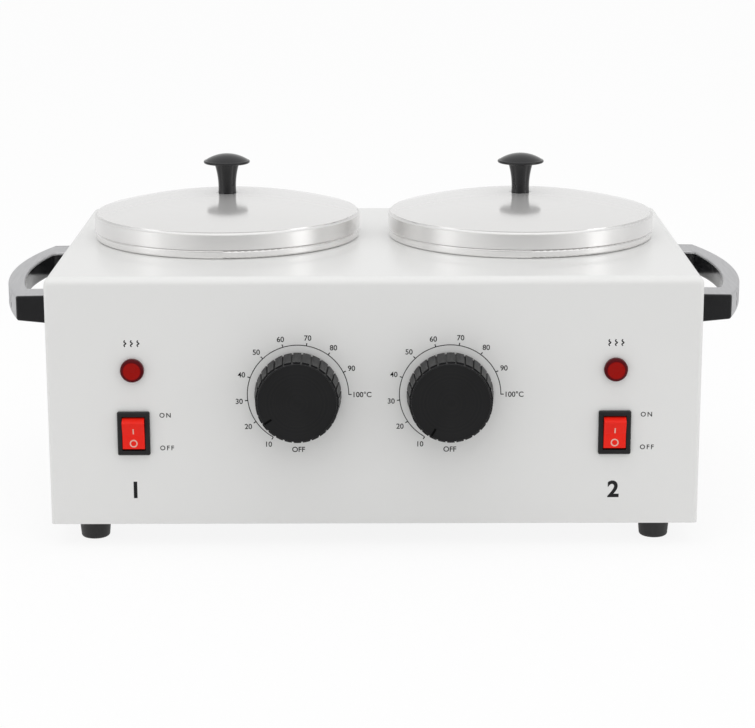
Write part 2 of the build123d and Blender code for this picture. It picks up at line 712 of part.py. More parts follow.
def control_knob(side, angle):
    """A fluted knob, hollow behind, with a D bore and a recess for its face disc."""
    step = KNOB_FACE_RADIUS - KNOB_STEP
    body = turned(
        [
            (0, KNOB_GAP),
            (KNOB_BASE_RADIUS, KNOB_GAP),
            (KNOB_FACE_RADIUS, KNOB_SHOULDER_Z),
            (step, KNOB_SHOULDER_Z),
            (step, KNOB_PROTRUSION),
            (0, KNOB_PROTRUSION),
        ],
        [(4, KNOB_ROUNDING)],
    )
    disc_seat = rod(FACE_DISC_RADIUS + THREAD_FIT, 2 * FACE_DISC_THICKNESS)
    body -= Pos(0, 0, KNOB_PROTRUSION - FACE_DISC_THICKNESS) * disc_seat
    hub = rod(SHAFT_RADIUS + KNOB_HUB_WALL, KNOB_RECESS_DEPTH)
    body -= Pos(0, 0, KNOB_GAP) * (rod(KNOB_RECESS_RADIUS, KNOB_RECESS_DEPTH) - hub)
    body -= rod(SHAFT_RADIUS + SHAFT_FIT, KNOB_GAP + SHAFT_ROUND_LENGTH + SHAFT_FIT)
    bore = shaft_section(SHAFT_RADIUS + SHAFT_FIT, SHAFT_FLAT + SHAFT_FIT)
    body -= extrude(bore, KNOB_PROTRUSION - KNOB_FRONT_WALL)
    body -= grip_grooves()
    notch = Pos(FACE_DISC_RADIUS + POINTER_NOTCH_OFFSET, 0, KNOB_PROTRUSION)
    body -= Rot(0, 0, angle) * notch * Box(POINTER_NOTCH, POINTER_WIDTH, 2 * KNOB_SHOULDER)
    return panel(side * DIAL_X, DIAL_Z) * body


def knob_face(side, angle):
    """The disc in the knob's front, with a groove as its pointer."""
    disc = Pos(0, 0, KNOB_PROTRUSION - FACE_DISC_THICKNESS) * rod(FACE_DISC_RADIUS, FACE_DISC_THICKNESS)
    groove = Box(2 * POINTER_LENGTH, POINTER_WIDTH, FACE_DISC_THICKNESS)
    pointer = Rot(0, 0, angle) * Pos(FACE_DISC_RADIUS, 0, KNOB_PROTRUSION) * groove
    return panel(side * DIAL_X, DIAL_Z) * (disc - pointer)


def sensor_capillary(side):
    """The thermostat's bulb under the well and the thin tube that leads to it."""
    bulb_z = WELL_BASE_Z - BULB_RADIUS
    bulb = well_place(side, bulb_z) * Rot(0, 90, 0) * Cylinder(BULB_RADIUS, BULB_LENGTH)
    lead_x = WELL_X - BULB_LENGTH / 2
    back_y = FRONT_Y + SHEET + THERMOSTAT_DEPTH
    entry_z = BOTTOM_Z + DIAL_Z - THERMOSTAT_HEIGHT / 2 + CAPILLARY_ENTRY
    points = [
        (side * lead_x, WELL_Y, bulb_z),
        (side * (lead_x - CAPILLARY_LEAD), WELL_Y, bulb_z),
        (side * DIAL_X, WELL_Y - CAPILLARY_TURN, bulb_z - CAPILLARY_DIP),
        (side * DIAL_X, back_y + CAPILLARY_RISE, entry_z - CAPILLARY_RISE),
        (side * DIAL_X, back_y + CAPILLARY_STUB, entry_z),
        (side * DIAL_X, back_y, entry_z),
    ]
    return bulb + tube(points, CAPILLARY_RADIUS, CAPILLARY_BEND)


def bulb_clips():
    """A strap under each well holds its bulb against the well's base."""
    bulb_z = -BULB_RADIUS
    strap_radius = BULB_RADIUS + CLIP_SHEET
    strap = Pos(0, 0, bulb_z) * Rot(0, 90, 0) * Cylinder(strap_radius, CLIP_WIDTH)
    flange = Pos(0, 0, -CLIP_SHEET / 2) * Box(CLIP_WIDTH, 2 * (strap_radius + CLIP_FOOT), CLIP_SHEET)
    bulb = Pos(0, 0, bulb_z) * Rot(0, 90, 0) * Cylinder(BULB_RADIUS + THREAD_FIT, 2 * CLIP_WIDTH)
    above = Box(2 * CLIP_WIDTH, 4 * strap_radius, 2 * strap_radius, align=STAND)
    clip = strap + flange - bulb - above
    return Compound([well_place(side, WELL_BASE_Z) * clip for _, side in side_places()])


def switch_frame(side):
    bezel = Box(BEZEL_WIDTH, BEZEL_HEIGHT, BEZEL_THICKNESS, align=STAND)
    bezel = fillet(bezel.edges().filter_by(Axis.Z), BEZEL_CORNER)
    bezel = chamfer(bezel.faces().sort_by(Axis.Z)[-1].edges(), BEZEL_CHAMFER)
    body = Box(SWITCH_BODY_WIDTH, SWITCH_BODY_HEIGHT, SWITCH_BODY_DEPTH, align=STAND)
    frame = bezel + Pos(0, 0, -SWITCH_BODY_DEPTH) * body
    window_depth = ROCKER_PIVOT_DEPTH + ROCKER_RADIUS + ROCKER_ROOM
    window_width = ROCKER_WIDTH + 2 * ROCKER_GAP
    window_height = 2 * (ROCKER_RADIUS + ROCKER_GAP)
    window = Box(window_width, window_height, window_depth + 2 * BEZEL_THICKNESS, align=STAND)
    pivot_hole = Cylinder(TRUNNION_RADIUS + SHAFT_FIT, window_width + 2 * TRUNNION_LENGTH)
    frame -= Pos(0, 0, -window_depth) * window
    frame -= Pos(0, 0, -ROCKER_PIVOT_DEPTH) * Rot(0, 90, 0) * pivot_hole
    return panel(side * COLUMN_X, SWITCH_Z) * frame


def rocker(side):
    """A rocker with a shallow V front, tilted so that its upper half stands out."""
    half = ROCKER_RADIUS + OVERCUT
    crest = ROCKER_CREST + half * tan(radians(ROCKER_TILT))
    wedge = make_face(
        Polyline(
            (0, ROCKER_CREST),
            (half, crest),
            (half, -ROCKER_BACK),
            (-half, -ROCKER_BACK),
            (-half, crest),
            close=True,
        )
    )
    cap = extrude(Plane.YZ * (wedge & Circle(ROCKER_RADIUS)), ROCKER_WIDTH / 2, both=True)
    pin_length = ROCKER_WIDTH + 2 * (ROCKER_GAP + TRUNNION_LENGTH - TRUNNION_END_GAP)
    cap += Rot(0, 90, 0) * Cylinder(TRUNNION_RADIUS, pin_length)
    pivot = Pos(0, 0, -ROCKER_PIVOT_DEPTH) * Rot(ROCKER_TILT, 0, 0)
    return panel(side * COLUMN_X, SWITCH_Z) * pivot * cap


def switch_terminals():
    tab = Box(TAB_WIDTH, TAB_THICKNESS, TAB_LENGTH)
    solids = []
    for _, side in side_places():
        for row in (-1, 0, 1):
            place = Pos(0, row * TAB_PITCH, -SWITCH_BODY_DEPTH - TAB_LENGTH / 2)
            solids.append(panel(side * COLUMN_X, SWITCH_Z) * place * tab)
    return Compound(solids)


def pilot_lens(side):
    corner = (LENS_RADIUS, LENS_SIDE)
    flat_edge = (LENS_FLAT_RADIUS, LENS_HEIGHT)
    outline = [
        Line((0, 0), (LENS_RADIUS, 0)),
        Line((LENS_RADIUS, 0), corner),
        TangentArc(corner, flat_edge, tangent=(0, 1)),
        Line(flat_edge, (0, LENS_HEIGHT)),
        Line((0, LENS_HEIGHT), (0, 0)),
    ]
    lens = revolve(Plane.XZ * make_face(outline), Axis.Z)
    return panel(side * COLUMN_X, LAMP_Z) * lens


def pilot_body(side):
    barrel = Pos(0, 0, -LAMP_BODY_LENGTH) * rod(LAMP_BODY_RADIUS, LAMP_BODY_LENGTH)
    barrel = chamfer(barrel.faces().sort_by(Axis.Z)[0].edges(), LAMP_BODY_CHAMFER)
    return panel(side * COLUMN_X, LAMP_Z) * barrel


def pilot_clips():
    """A push-on ring behind the panel holds each lamp."""
    ring = rod(LAMP_CLIP_RADIUS, LAMP_CLIP_THICKNESS)
    ring -= rod(LAMP_BODY_RADIUS + THREAD_FIT, LAMP_CLIP_THICKNESS)
    back = Pos(0, 0, -SHEET - LAMP_CLIP_THICKNESS)
    return Compound([panel(side * COLUMN_X, LAMP_Z) * back * ring for _, side in side_places()])


def handle_plan(half_length, end_reach, reach, root_inset=0.0):
    """Plan of a bowed handle on the right side, from the housing side outwards."""
    near = HANDLE_Y - half_length
    far = HANDLE_Y + half_length
    root = SIDE_X - root_inset
    end = SIDE_X + end_reach
    return make_face(
        [
            Line((root, near), (end, near)),
            ThreePointArc((end, near), (SIDE_X + reach, HANDLE_Y), (end, far)),
            Line((end, far), (root, far)),
            Line((root, far), (root, near)),
        ]
    )


def handle_opening():
    """Plan of the space for the fingers, its two outer corners rounded."""
    half_length = HANDLE_HALF_LENGTH - HANDLE_LEG
    end_reach = HANDLE_END_REACH - HANDLE_END_WALL
    plan = handle_plan(half_length, end_reach, HANDLE_REACH - HANDLE_WALL, OVERCUT)
    for end in (-1, 1):
        corner = (SIDE_X + end_reach, HANDLE_Y + end * half_length, 0)
        plan = fillet(plan.vertices().sort_by_distance(corner)[0], HANDLE_INNER_CORNER)
    return plan


def side_prism(outline):
    """A prism a little longer than a handle, from its outline in X and Z."""
    length = HANDLE_HALF_LENGTH + HANDLE_WALL
    prism = extrude(Plane.XZ * make_face(outline), length, both=True)
    return Pos(0, HANDLE_Y, 0) * prism


def handle_blank():
    """The full right handle before its trim is parted from its grip."""
    outer = handle_plan(HANDLE_HALF_LENGTH, HANDLE_END_REACH, HANDLE_REACH)
    bow = extrude(Pos(0, 0, HANDLE_BOTTOM_Z) * (outer - handle_opening()), HANDLE_ROOT_HEIGHT, dir=(0, 0, 1))
    slope = Polyline(
        (SIDE_X, HANDLE_BOTTOM_Z),
        (SIDE_X + HANDLE_REACH, HANDLE_BOTTOM_Z + HANDLE_BOTTOM_SLOPE),
        (SIDE_X + HANDLE_REACH, HANDLE_TOP_Z - HANDLE_TOP_SLOPE),
        (SIDE_X, HANDLE_TOP_Z),
        close=True,
    )
    blank = bow & side_prism(slope)
    outside = blank.edges().filter_by(lambda edge: edge.center().X > SIDE_X + OVERCUT)
    end_y = HANDLE_HALF_LENGTH - HANDLE_END_EDGE
    along = outside.filter_by(lambda edge: abs(edge.center().Y - HANDLE_Y) < end_y)
    flat = along.filter_by(Axis.Z, reverse=True)
    blank = fillet(flat, HANDLE_EDGE)
    ends = blank.edges().filter_by(lambda edge: abs(edge.center().Y - HANDLE_Y) > end_y)
    rim = ends.filter_by(lambda edge: edge.center().X > SIDE_X + OVERCUT)
    return chamfer(rim, HANDLE_END_EDGE)


def grip_core():
    """All of the handle that lies under the trim's top and outer side, and its two end caps."""
    half_length = HANDLE_HALF_LENGTH + OVERCUT
    plan = handle_plan(half_length, HANDLE_END_REACH - TRIM_THICKNESS, HANDLE_REACH - TRIM_THICKNESS, OVERCUT)
    low = HANDLE_BOTTOM_Z - OVERCUT
    top = HANDLE_TOP_Z - TRIM_THICKNESS
    far = SIDE_X + HANDLE_REACH
    slope = Polyline(
        (SIDE_X - OVERCUT, low),
        (far, low),
        (far, top - HANDLE_TOP_SLOPE),
        (SIDE_X, top),
        (SIDE_X - OVERCUT, top),
        close=True,
    )
    prism = extrude(Pos(0, 0, low) * plan, HANDLE_ROOT_HEIGHT + 2 * OVERCUT, dir=(0, 0, 1))
    core = prism & side_prism(slope)
    cap = Box(2 * HANDLE_REACH, HANDLE_END_CAP + OVERCUT, 2 * HANDLE_ROOT_HEIGHT)
    cap_offset = HANDLE_HALF_LENGTH - (HANDLE_END_CAP - OVERCUT) / 2
    for end in (-1, 1):
        core += Pos(SIDE_X + HANDLE_REACH, HANDLE_Y + end * cap_offset, HANDLE_SCREW_Z) * cap
    return core


def trim_slots():
    """Two rows of slanted slots through the trim's outer side."""
    sagitta = HANDLE_REACH - HANDLE_END_REACH
    bow = (HANDLE_HALF_LENGTH**2 + sagitta**2) / (2 * sagitta)
    centre_x = SIDE_X + HANDLE_REACH - bow
    middle_z = HANDLE_SCREW_Z + (HANDLE_BOTTOM_SLOPE - HANDLE_TOP_SLOPE) / 2
    cut = 2 * (TRIM_THICKNESS + HANDLE_EDGE)
    slot = Rot(TRIM_SLOT_LEAN, 0, 0) * Box(cut, TRIM_SLOT_WIDTH, TRIM_SLOT_LENGTH)
    slots = []
    for row in (-1, 1):
        centre = Pos(centre_x, HANDLE_Y, middle_z + row * TRIM_ROW_OFFSET)
        for number in range(TRIM_SLOTS):
            along = (number - (TRIM_SLOTS - 1) / 2) * TRIM_SLOT_PITCH
            slots.append(centre * Rot(0, 0, degrees(asin(along / bow))) * Pos(bow, 0, 0) * slot)
    return slots


def handle_pieces():
    """The grip and the trim of the right handle."""
    blank = handle_blank()
    core = grip_core()
    grip = blank & core
    for end in (-1, 1):
        hole = Pos(SIDE_X, HANDLE_Y + end * HANDLE_SCREW_OFFSET, HANDLE_SCREW_Z) * Rot(0, 90, 0)
        grip -= hole * rod(M4_RADIUS + THREAD_FIT, HANDLE_SCREW_BORE)
    return grip, blank - core - trim_slots()


def handle_screws():
    one = screw(M4_RADIUS, HANDLE_SCREW_LENGTH)
    solids = []
    for _, side in side_places():
        for end in (-1, 1):
            place = Pos(side * (SIDE_X - SHEET), HANDLE_Y + end * HANDLE_SCREW_OFFSET, HANDLE_SCREW_Z)
            solids.append(place * Rot(0, -90 * side, 0) * one)
    return Compound(solids)


def cord_gland():
    """A snap-in bushing in the back panel, open where the supply cord goes through."""
    inside = GLAND_INSIDE + SHEET
    flange = turned(
        [
            (0, 0),
            (GLAND_FLANGE_RADIUS, 0),
            (GLAND_FLANGE_RADIUS, GLAND_FLANGE_THICKNESS),
            (GLAND_BODY_RADIUS, GLAND_REACH),
            (0, GLAND_REACH),
        ],
        [(2, GLAND_ROUNDING), (3, GLAND_ROUNDING)],
    )
    body = flange + Pos(0, 0, -inside) * rod(GLAND_BODY_RADIUS, inside)
    body -= Pos(0, 0, -inside) * rod(GLAND_BORE, inside + GLAND_REACH)
    origin = (GLAND_X, BACK_Y, BOTTOM_Z + GLAND_Z)
    return Location(Plane(origin=origin, x_dir=(-1, 0, 0), z_dir=(0, 1, 0))) * body


def block_screw_places():
    reach = BLOCK_WIDTH / 2 - BLOCK_SCREW_INSET
    return [(BLOCK_X - reach, BLOCK_Y), (BLOCK_X + reach, BLOCK_Y)]


def way_x(way):
    """Place along X of one way of the terminal block, counted from the left."""
    return BLOCK_X + (way - (BLOCK_WAYS - 1) / 2) * BLOCK_PITCH


def terminal_block():
    body = Pos(BLOCK_X, BLOCK_Y, PLATE_TOP_Z) * Box(BLOCK_WIDTH, BLOCK_DEPTH, BLOCK_HEIGHT, align=STAND)
    for way in range(BLOCK_WAYS):
        bore = Cylinder(WIRE_RADIUS + THREAD_FIT, 2 * BLOCK_DEPTH)
        body -= Pos(way_x(way), BLOCK_Y, WAY_Z) * Rot(90, 0, 0) * bore
        for row in (-1, 1):
            clamp = Pos(way_x(way), BLOCK_Y + row * CLAMP_HOLE_OFFSET, WAY_Z)
            body -= clamp * rod(CLAMP_HOLE_RADIUS, BLOCK_HEIGHT)
    for x, y in block_screw_places():
        body -= Pos(x, y, PLATE_TOP_Z) * rod(M3_RADIUS + HOLE_CLEARANCE, BLOCK_HEIGHT)
        body -= Pos(x, y, WAY_Z) * rod(BLOCK_HEAD_ROOM, BLOCK_HEIGHT)
    return body


def terminal_block_screws():
    one = screw(M3_RADIUS, BLOCK_SCREW_LENGTH)
    return Compound([Pos(x, y, WAY_Z) * one for x, y in block_screw_places()])


def earth_stud():
    """A stud through the base plate, its nut on top of the plate."""
    head = Pos(0, 0, BOTTOM_Z - EARTH_HEAD_HEIGHT) * rod(EARTH_HEAD_RADIUS, EARTH_HEAD_HEIGHT)
    stud = head + Pos(0, 0, BOTTOM_Z) * rod(M4_RADIUS, EARTH_STUD_LENGTH)
    nut = Pos(0, 0, PLATE_TOP_Z) * hex_nut(M4_RADIUS)
    return Compound([Pos(EARTH_X, EARTH_Y, 0) * solid for solid in (stud, nut)])


def way_end(way):
    """Where a wire ends inside one way of the terminal block."""
    return (way_x(way), BLOCK_Y - BLOCK_DEPTH / 2 + WIRE_SEAT, WAY_Z)


def switch_tab_end(side, row):
    """The end of a tab behind a switch."""
    return (
        side * COLUMN_X,
        FRONT_Y + SWITCH_BODY_DEPTH + TAB_LENGTH,
        BOTTOM_Z + SWITCH_Z + row * TAB_PITCH,
    )


def thermostat_tab_end(side, hand):
    """The end of a thermostat's tab; hand is 1 for the tab nearer the switch."""
    return (
        side * (DIAL_X + hand * THERMOSTAT_TAB_OFFSET),
        FRONT_Y + SHEET + THERMOSTAT_DEPTH + TAB_LENGTH,
        BOTTOM_Z + DIAL_Z,
    )


def lug_foot(side, hand):
    """The lower edge of a heater lug; hand is 1 for the lug nearer the side panel."""
    return (side * (WELL_X + hand * LUG_X), CLAMP_Y, BAND_MIDDLE_Z - LUG_HEIGHT / 2)


def supply_wire(way, lane, x, y, z):
    """A wire from the terminal block over the base plate, then up to a height."""
    lane_y = FRONT_Y + lane
    start = way_end(way)
    return [start, (start[0], lane_y, WAY_Z), (x, lane_y, WAY_Z), (x, y, WAY_Z), (x, y, z)]


def switch_supply(side, way):
    """Live from the block to the lowest tab of a switch."""
    x, y, z = switch_tab_end(side, -1)
    points = supply_wire(way, LIVE_LANE, x, y + STUB_LENGTH, z)
    return tube(points + [(x, y, z)], WIRE_RADIUS, STUB_BEND)


def switched_wire(side):
    """From the middle tab of a switch to its thermostat."""
    start = switch_tab_end(side, 0)
    end = thermostat_tab_end(side, 1)
    behind = end[1] + STUB_LENGTH
    low = end[2] - LINK_DROP
    points = [
        start,
        (start[0], start[1] + STUB_LENGTH, start[2]),
        (end[0], behind, low),
        (end[0], behind, end[2]),
        end,
    ]
    return tube(points, WIRE_RADIUS, STUB_BEND)


def heater_wire(side):
    """From the thermostat to the thermal fuse below the inner lug."""
    start = thermostat_tab_end(side, -1)
    lug = lug_foot(side, -1)
    behind = start[1] + STUB_LENGTH
    fuse_z = lug[2] - FUSE_LEAD - FUSE_LENGTH
    low = fuse_z - STUB_LENGTH
    points = [
        start,
        (start[0], behind, start[2]),
        (start[0], behind, fuse_z),
        (lug[0] - side * STUB_LENGTH, lug[1], low),
        (lug[0], lug[1], low),
        (lug[0], lug[1], fuse_z),
    ]
    return tube(points, WIRE_RADIUS, STUB_BEND)


def fuse_lead(side):
    x, y, z = lug_foot(side, -1)
    return Pos(x, y, z - FUSE_LEAD) * rod(WIRE_RADIUS, FUSE_LEAD)


def lamp_live_wire(side):
    """From the highest tab of a switch to the lamp above it."""
    x, y, z = switch_tab_end(side, 1)
    lamp_x = x + side * WIRE_SPACING
    lamp_y = FRONT_Y + LAMP_BODY_LENGTH
    lamp_z = BOTTOM_Z + LAMP_Z
    behind = y + STUB_LENGTH
    points = [(x, y, z), (x, behind, z), (lamp_x, behind, lamp_z), (lamp_x, lamp_y, lamp_z)]
    return tube(points, WIRE_RADIUS, STUB_BEND)


def lamp_neutral_wire(side):
    """From the lamp to the outer lug, between the clamp screws."""
    x = side * (COLUMN_X - WIRE_SPACING)
    lamp_y = FRONT_Y + LAMP_BODY_LENGTH
    lamp_z = BOTTOM_Z + LAMP_Z
    lug_side = side * (WELL_X + LUG_X + LUG_THICKNESS / 2)
    beside = lug_side + side * STUB_LENGTH
    lug_y = CLAMP_Y - WIRE_SPACING
    points = [
        (x, lamp_y, lamp_z),
        (x, lamp_y + STUB_LENGTH, lamp_z),
        (beside, lug_y, BAND_MIDDLE_Z),
        (lug_side, lug_y, BAND_MIDDLE_Z),
    ]
    return tube(points, WIRE_RADIUS, STUB_BEND)


def live_wiring():
    wires = []
    for side, way in ((-1, 0), (1, 3)):
        wires += [switch_supply(side, way), switched_wire(side), heater_wire(side), fuse_lead(side)]
        wires.append(lamp_live_wire(side))
    return Compound(wires)


def neutral_wiring():
    wires = []
    for side, way in ((-1, 1), (1, 2)):
        points = supply_wire(way, NEUTRAL_LANE, *lug_foot(side, 1))
        wires += [tube(points, WIRE_RADIUS, WIRE_BEND), lamp_neutral_wire(side)]
    return Compound(wires)


def earth_wiring():
    """From the last way of the block to a ring that lies on the earth stud's nut."""
    start = way_end(BLOCK_WAYS - 1)
    front = BLOCK_Y - BLOCK_DEPTH / 2 - STUB_LENGTH
    wire_z = EARTH_RING_Z + WIRE_RADIUS
    ring_x = EARTH_X - M4_RADIUS - WIRE_RADIUS - THREAD_FIT
    points = [
        start,
        (start[0], front, WAY_Z),
        (ring_x - 2 * STUB_LENGTH, EARTH_Y, wire_z),
        (ring_x, EARTH_Y, wire_z),
    ]
    ring = rod(EARTH_RING_RADIUS, EARTH_RING_THICKNESS)
    wire = tube(points, WIRE_RADIUS, STUB_BEND)
    lug = wire + Pos(EARTH_X, EARTH_Y, EARTH_RING_Z) * ring
    return lug - Pos(EARTH_X, EARTH_Y, EARTH_RING_Z) * rod(M4_RADIUS + THREAD_FIT, EARTH_STUD_LENGTH)


def thermal_fuses():
    """A fuse hangs in each heater's live lead."""
    solids = []
    for _, side in side_places():
        x, y, z = lug_foot(side, -1)
        solids.append(Pos(x, y, z - FUSE_LEAD - FUSE_LENGTH) * rod(FUSE_RADIUS, FUSE_LENGTH))
    return Compound(solids)


def shared_nodes():
    """The nodes that serve both sides."""
    nodes = {
        "housing_shell": housing_shell(),
        "base_plate": base_plate(),
        "base_screws": base_screws(),
        "foot_screws": foot_screws(),
        "heater_clamp_screws": clamp_screws(),
        "bulb_clips": bulb_clips(),
        "thermostat_screws": thermostat_screws(),
        "switch_terminals": switch_terminals(),
        "pilot_lamp_clips": pilot_clips(),
        "handle_screws": handle_screws(),
        "cord_gland": cord_gland(),
        "terminal_block": terminal_block(),
        "terminal_block_screws": terminal_block_screws(),
        "earth_stud": earth_stud(),
        "live_wiring": live_wiring(),
        "neutral_wiring": neutral_wiring(),
        "earth_wiring": earth_wiring(),
        "thermal_fuses": thermal_fuses(),
    }
    for name, place in foot_places().items():
        nodes["foot_" + name] = foot(*place)
    return nodes


def side_nodes(side, angle):
    """The nodes of one side, without their left or right."""
    return {
        "heater_well": heater_well(side),
        "heater_band": heater_band(side),
        "insulation_wrap": insulation_wrap(side),
        "pot": pot(side),
        "lid": lid(side),
        "lid_knob": lid_knob(side),
        "lid_washer": lid_washer(side),
        "lid_knob_screw": lid_knob_screw(side),
        "thermostat_body": thermostat_body(side),
        "thermostat_shaft": thermostat_shaft(side),
        "control_knob": control_knob(side, angle),
        "control_knob_face": knob_face(side, angle),
        "sensor_capillary": sensor_capillary(side),
        "switch_frame": switch_frame(side),
        "rocker": rocker(side),
        "pilot_lamp_lens": pilot_lens(side),
        "pilot_lamp_body": pilot_body(side),
    }


def build():
    """Every node of the warmer by name."""
    nodes = shared_nodes()
    pointer_angles = {"left": LEFT_POINTER_ANGLE, "right": RIGHT_POINTER_ANGLE}
    grip, trim = handle_pieces()
    for name, side in side_places():
        for piece, shape in side_nodes(side, pointer_angles[name]).items():
            nodes[name + "_" + piece] = shape
        for piece, shape in (("handle_grip", grip), ("handle_trim", trim)):
            nodes[name + "_" + piece] = shape if side > 0 else mirror(shape, about=Plane.YZ)
    return nodes


os.makedirs("parts", exist_ok=True)
for node_name, node_shape in build().items():
    export_step(node_shape, "parts/" + node_name + ".step")
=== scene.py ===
import json
from math import cos, pi, radians, sin

import bpy
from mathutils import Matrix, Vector


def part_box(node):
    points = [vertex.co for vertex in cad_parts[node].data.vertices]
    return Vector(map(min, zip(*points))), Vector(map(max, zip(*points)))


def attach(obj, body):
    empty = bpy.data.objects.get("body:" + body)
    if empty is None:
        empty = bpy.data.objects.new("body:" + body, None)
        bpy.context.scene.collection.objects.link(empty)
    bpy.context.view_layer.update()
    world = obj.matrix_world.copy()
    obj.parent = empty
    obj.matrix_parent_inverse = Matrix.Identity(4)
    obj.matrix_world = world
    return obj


# The looks of a double wax warmer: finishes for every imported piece, the printed marks on its
# front and on its rockers, a plain pale studio and the camera. Lengths are metres, in the part's frame.

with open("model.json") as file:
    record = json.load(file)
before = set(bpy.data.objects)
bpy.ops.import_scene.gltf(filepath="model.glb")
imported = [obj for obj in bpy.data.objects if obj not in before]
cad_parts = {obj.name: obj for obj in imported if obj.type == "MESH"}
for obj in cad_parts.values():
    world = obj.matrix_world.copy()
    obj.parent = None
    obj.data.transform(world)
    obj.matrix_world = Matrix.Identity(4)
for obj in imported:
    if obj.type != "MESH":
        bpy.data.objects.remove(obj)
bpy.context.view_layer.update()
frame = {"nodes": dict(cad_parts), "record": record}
nodes = frame["nodes"]

MM = 0.001
SIDES = ("left", "right")

# Camera: turns in degrees, lens and sensor in millimetres
CAMERA_PLACE = (1.13 * MM, -1172.76 * MM, 353.35 * MM)
CAMERA_PITCH = 76.437
CAMERA_ROLL = 0.12
CAMERA_YAW = -0.06
CAMERA_LENS = 107.64
CAMERA_SENSOR = 36.0
CAMERA_NEAR = 0.05
CAMERA_FAR = 50.0

# Studio: brightness of the walls and of the floor's glow by degrees from the camera's side
WALL_LEVELS = (
    (0, 0.42),
    (18, 0.43),
    (34, 0.56),
    (50, 0.74),
    (68, 0.92),
    (84, 0.72),
    (106, 0.56),
    (128, 0.60),
    (155, 0.74),
    (180, 0.80),
)
FLOOR_LEVELS = (
    (0, 0.30),
    (18, 0.33),
    (34, 0.52),
    (50, 0.78),
    (66, 1.00),
    (82, 0.90),
    (106, 0.74),
    (128, 0.76),
    (155, 0.84),
    (180, 0.90),
)
WALL_TOP = 0.5
WALL_BLEND = 0.15
CEILING_FRONT = 1.22
CEILING_BACK = 0.72
FLOOR_PAPER = (0.9, 0.9, 0.9)
FLOOR_SHOWN = 0.88
FLOOR_SIZE = 24.0

# Lamps: places and sizes in metres, powers in watts, the left one's first
LAMP_AIM = (0, 0, 0.08)
SIDE_LAMP_X = 1.45
SIDE_LAMP_Y = -0.60
SIDE_LAMP_Z = 0.42
SIDE_LAMP_SIZE = (0.5, 0.8)
SIDE_LAMP_POWERS = (0.4, 0.9)
OVERHEAD_LAMP_PLACE = (0, -0.3, 1.8)
OVERHEAD_LAMP_SIZE = (1.6, 1.3)
OVERHEAD_LAMP_POWER = 6.0

# Printed marks on the front and on the rockers, in real sizes
INK_THICKNESS = 0.04 * MM
INK_WEIGHT = 0.05 * MM
SCALE_RADIUS = 24.95 * MM
SCALE_LINE = 0.42 * MM
SCALE_SPAN = 240.0
SCALE_STEPS = 96
TICK_LENGTH = 1.4 * MM
TICK_WIDTH = 0.5 * MM
FIRST_NUMBER = 10
LAST_NUMBER = 100
NUMBER_STEP = 10
NUMBER_SIZE = 3.7 * MM
NUMBER_GAP = 0.95 * MM
OFF_SIZE = 3.7 * MM
OFF_DROP = 28.0 * MM
SWITCH_WORD_SIZE = 3.3 * MM
SWITCH_WORD_SPACING = 1.35
SWITCH_WORD_GAP = 12.8 * MM
SWITCH_ON_RISE = 9.0 * MM
SWITCH_OFF_DROP = 7.7 * MM
HEAT_RISE = 13.4 * MM
HEAT_HEIGHT = 3.2 * MM
HEAT_PITCH = 3.2 * MM
HEAT_LINE_RADIUS = 0.3 * MM
HEAT_SWING = 0.9 * MM
SIDE_NUMBER_SIZE = 11.5 * MM
SIDE_NUMBER_Z = 17.7 * MM
SIDE_NUMBER_WEIGHT = 0.35 * MM
ROCKER_LINE = 0.6 * MM
ROCKER_RING = 1.95 * MM
ROCKER_RING_SIDES = 48
ROCKER_RING_DROP = 4.8 * MM
ROCKER_STROKE = 2.8 * MM
ROCKER_STROKE_CUTS = 3
ROCKER_STROKE_RISE = 1.5 * MM
MARK_STANDOFF = 5 * MM

# Finishes: colours are linear red, green and blue; painted shade in a dial's pointer groove starts behind
# its face
NOISE_LOW = 0.3
NOISE_HIGH = 0.7
ENAMEL = (0.80, 0.80, 0.79)
ENAMEL_SHADE = (0.796, 0.796, 0.786)
BLACK = (0.007, 0.007, 0.008)
BLACK_RUBBED = (0.011, 0.011, 0.012)
ALUMINIUM = (0.90, 0.893, 0.885)
SKIRT_TOP_DROP = 9.3 * MM
SKIRT_TOP_BLEND = 0.8 * MM
SKIRT_METALLIC = 1.0
CROWN_METALLIC = 0.6
SKIRT_ROUGHNESS = 0.32
CROWN_ROUGHNESS = 0.13
DIAL_BLACK = (0.042, 0.042, 0.043)
DIAL_BLACK_RINGS = (0.039, 0.039, 0.040)
DIAL_METALLIC = 0.9
# Painted shade: the near-black colour inside the dials' pointer grooves
POINTER_GROOVE_SHADE = (0.002, 0.002, 0.002)
GROOVE_SHADE_TOP = 0.1 * MM
GROOVE_SHADE_FULL = 0.3 * MM
SATIN_CHROME = (0.57, 0.57, 0.58)
SATIN_CHROME_SHADE = (0.54, 0.54, 0.55)
RUBBER = (0.018, 0.018, 0.018)
RUBBER_RUBBED = (0.026, 0.026, 0.026)
LAMP_RED = (0.32, 0.004, 0.002)
# Painted shade: the lens colour where its side bends away from the flat
LAMP_RED_EDGE_SHADE = (0.085, 0.001, 0.004)
LENS_FLAT = 0.66
LENS_RING = 0.8
ROCKER_RED = (0.90, 0.018, 0.006)
ROCKER_RED_SHADE = (0.84, 0.014, 0.006)
SLEEVE = (0.84, 0.80, 0.68)
SLEEVE_SHADE = (0.66, 0.62, 0.50)
INK = (0.010, 0.010, 0.011)
INK_SHADE = (0.015, 0.015, 0.016)
MARK_PAINT = (0.86, 0.55, 0.47)
MARK_PAINT_SHADE = (0.80, 0.46, 0.38)
FINE_BUMP = 0.004 * MM

housing_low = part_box("housing_shell")[0]
FRONT_Y = housing_low.y
BOTTOM_Z = housing_low.z


def centre_of(node):
    """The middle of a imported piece's box."""
    low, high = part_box(node)
    return (low + high) / 2


def deselect():
    bpy.ops.object.select_all(action="DESELECT")


def pick(piece):
    """Selects one piece alone and makes it the active one."""
    deselect()
    piece.select_set(True)
    bpy.context.view_layer.objects.active = piece


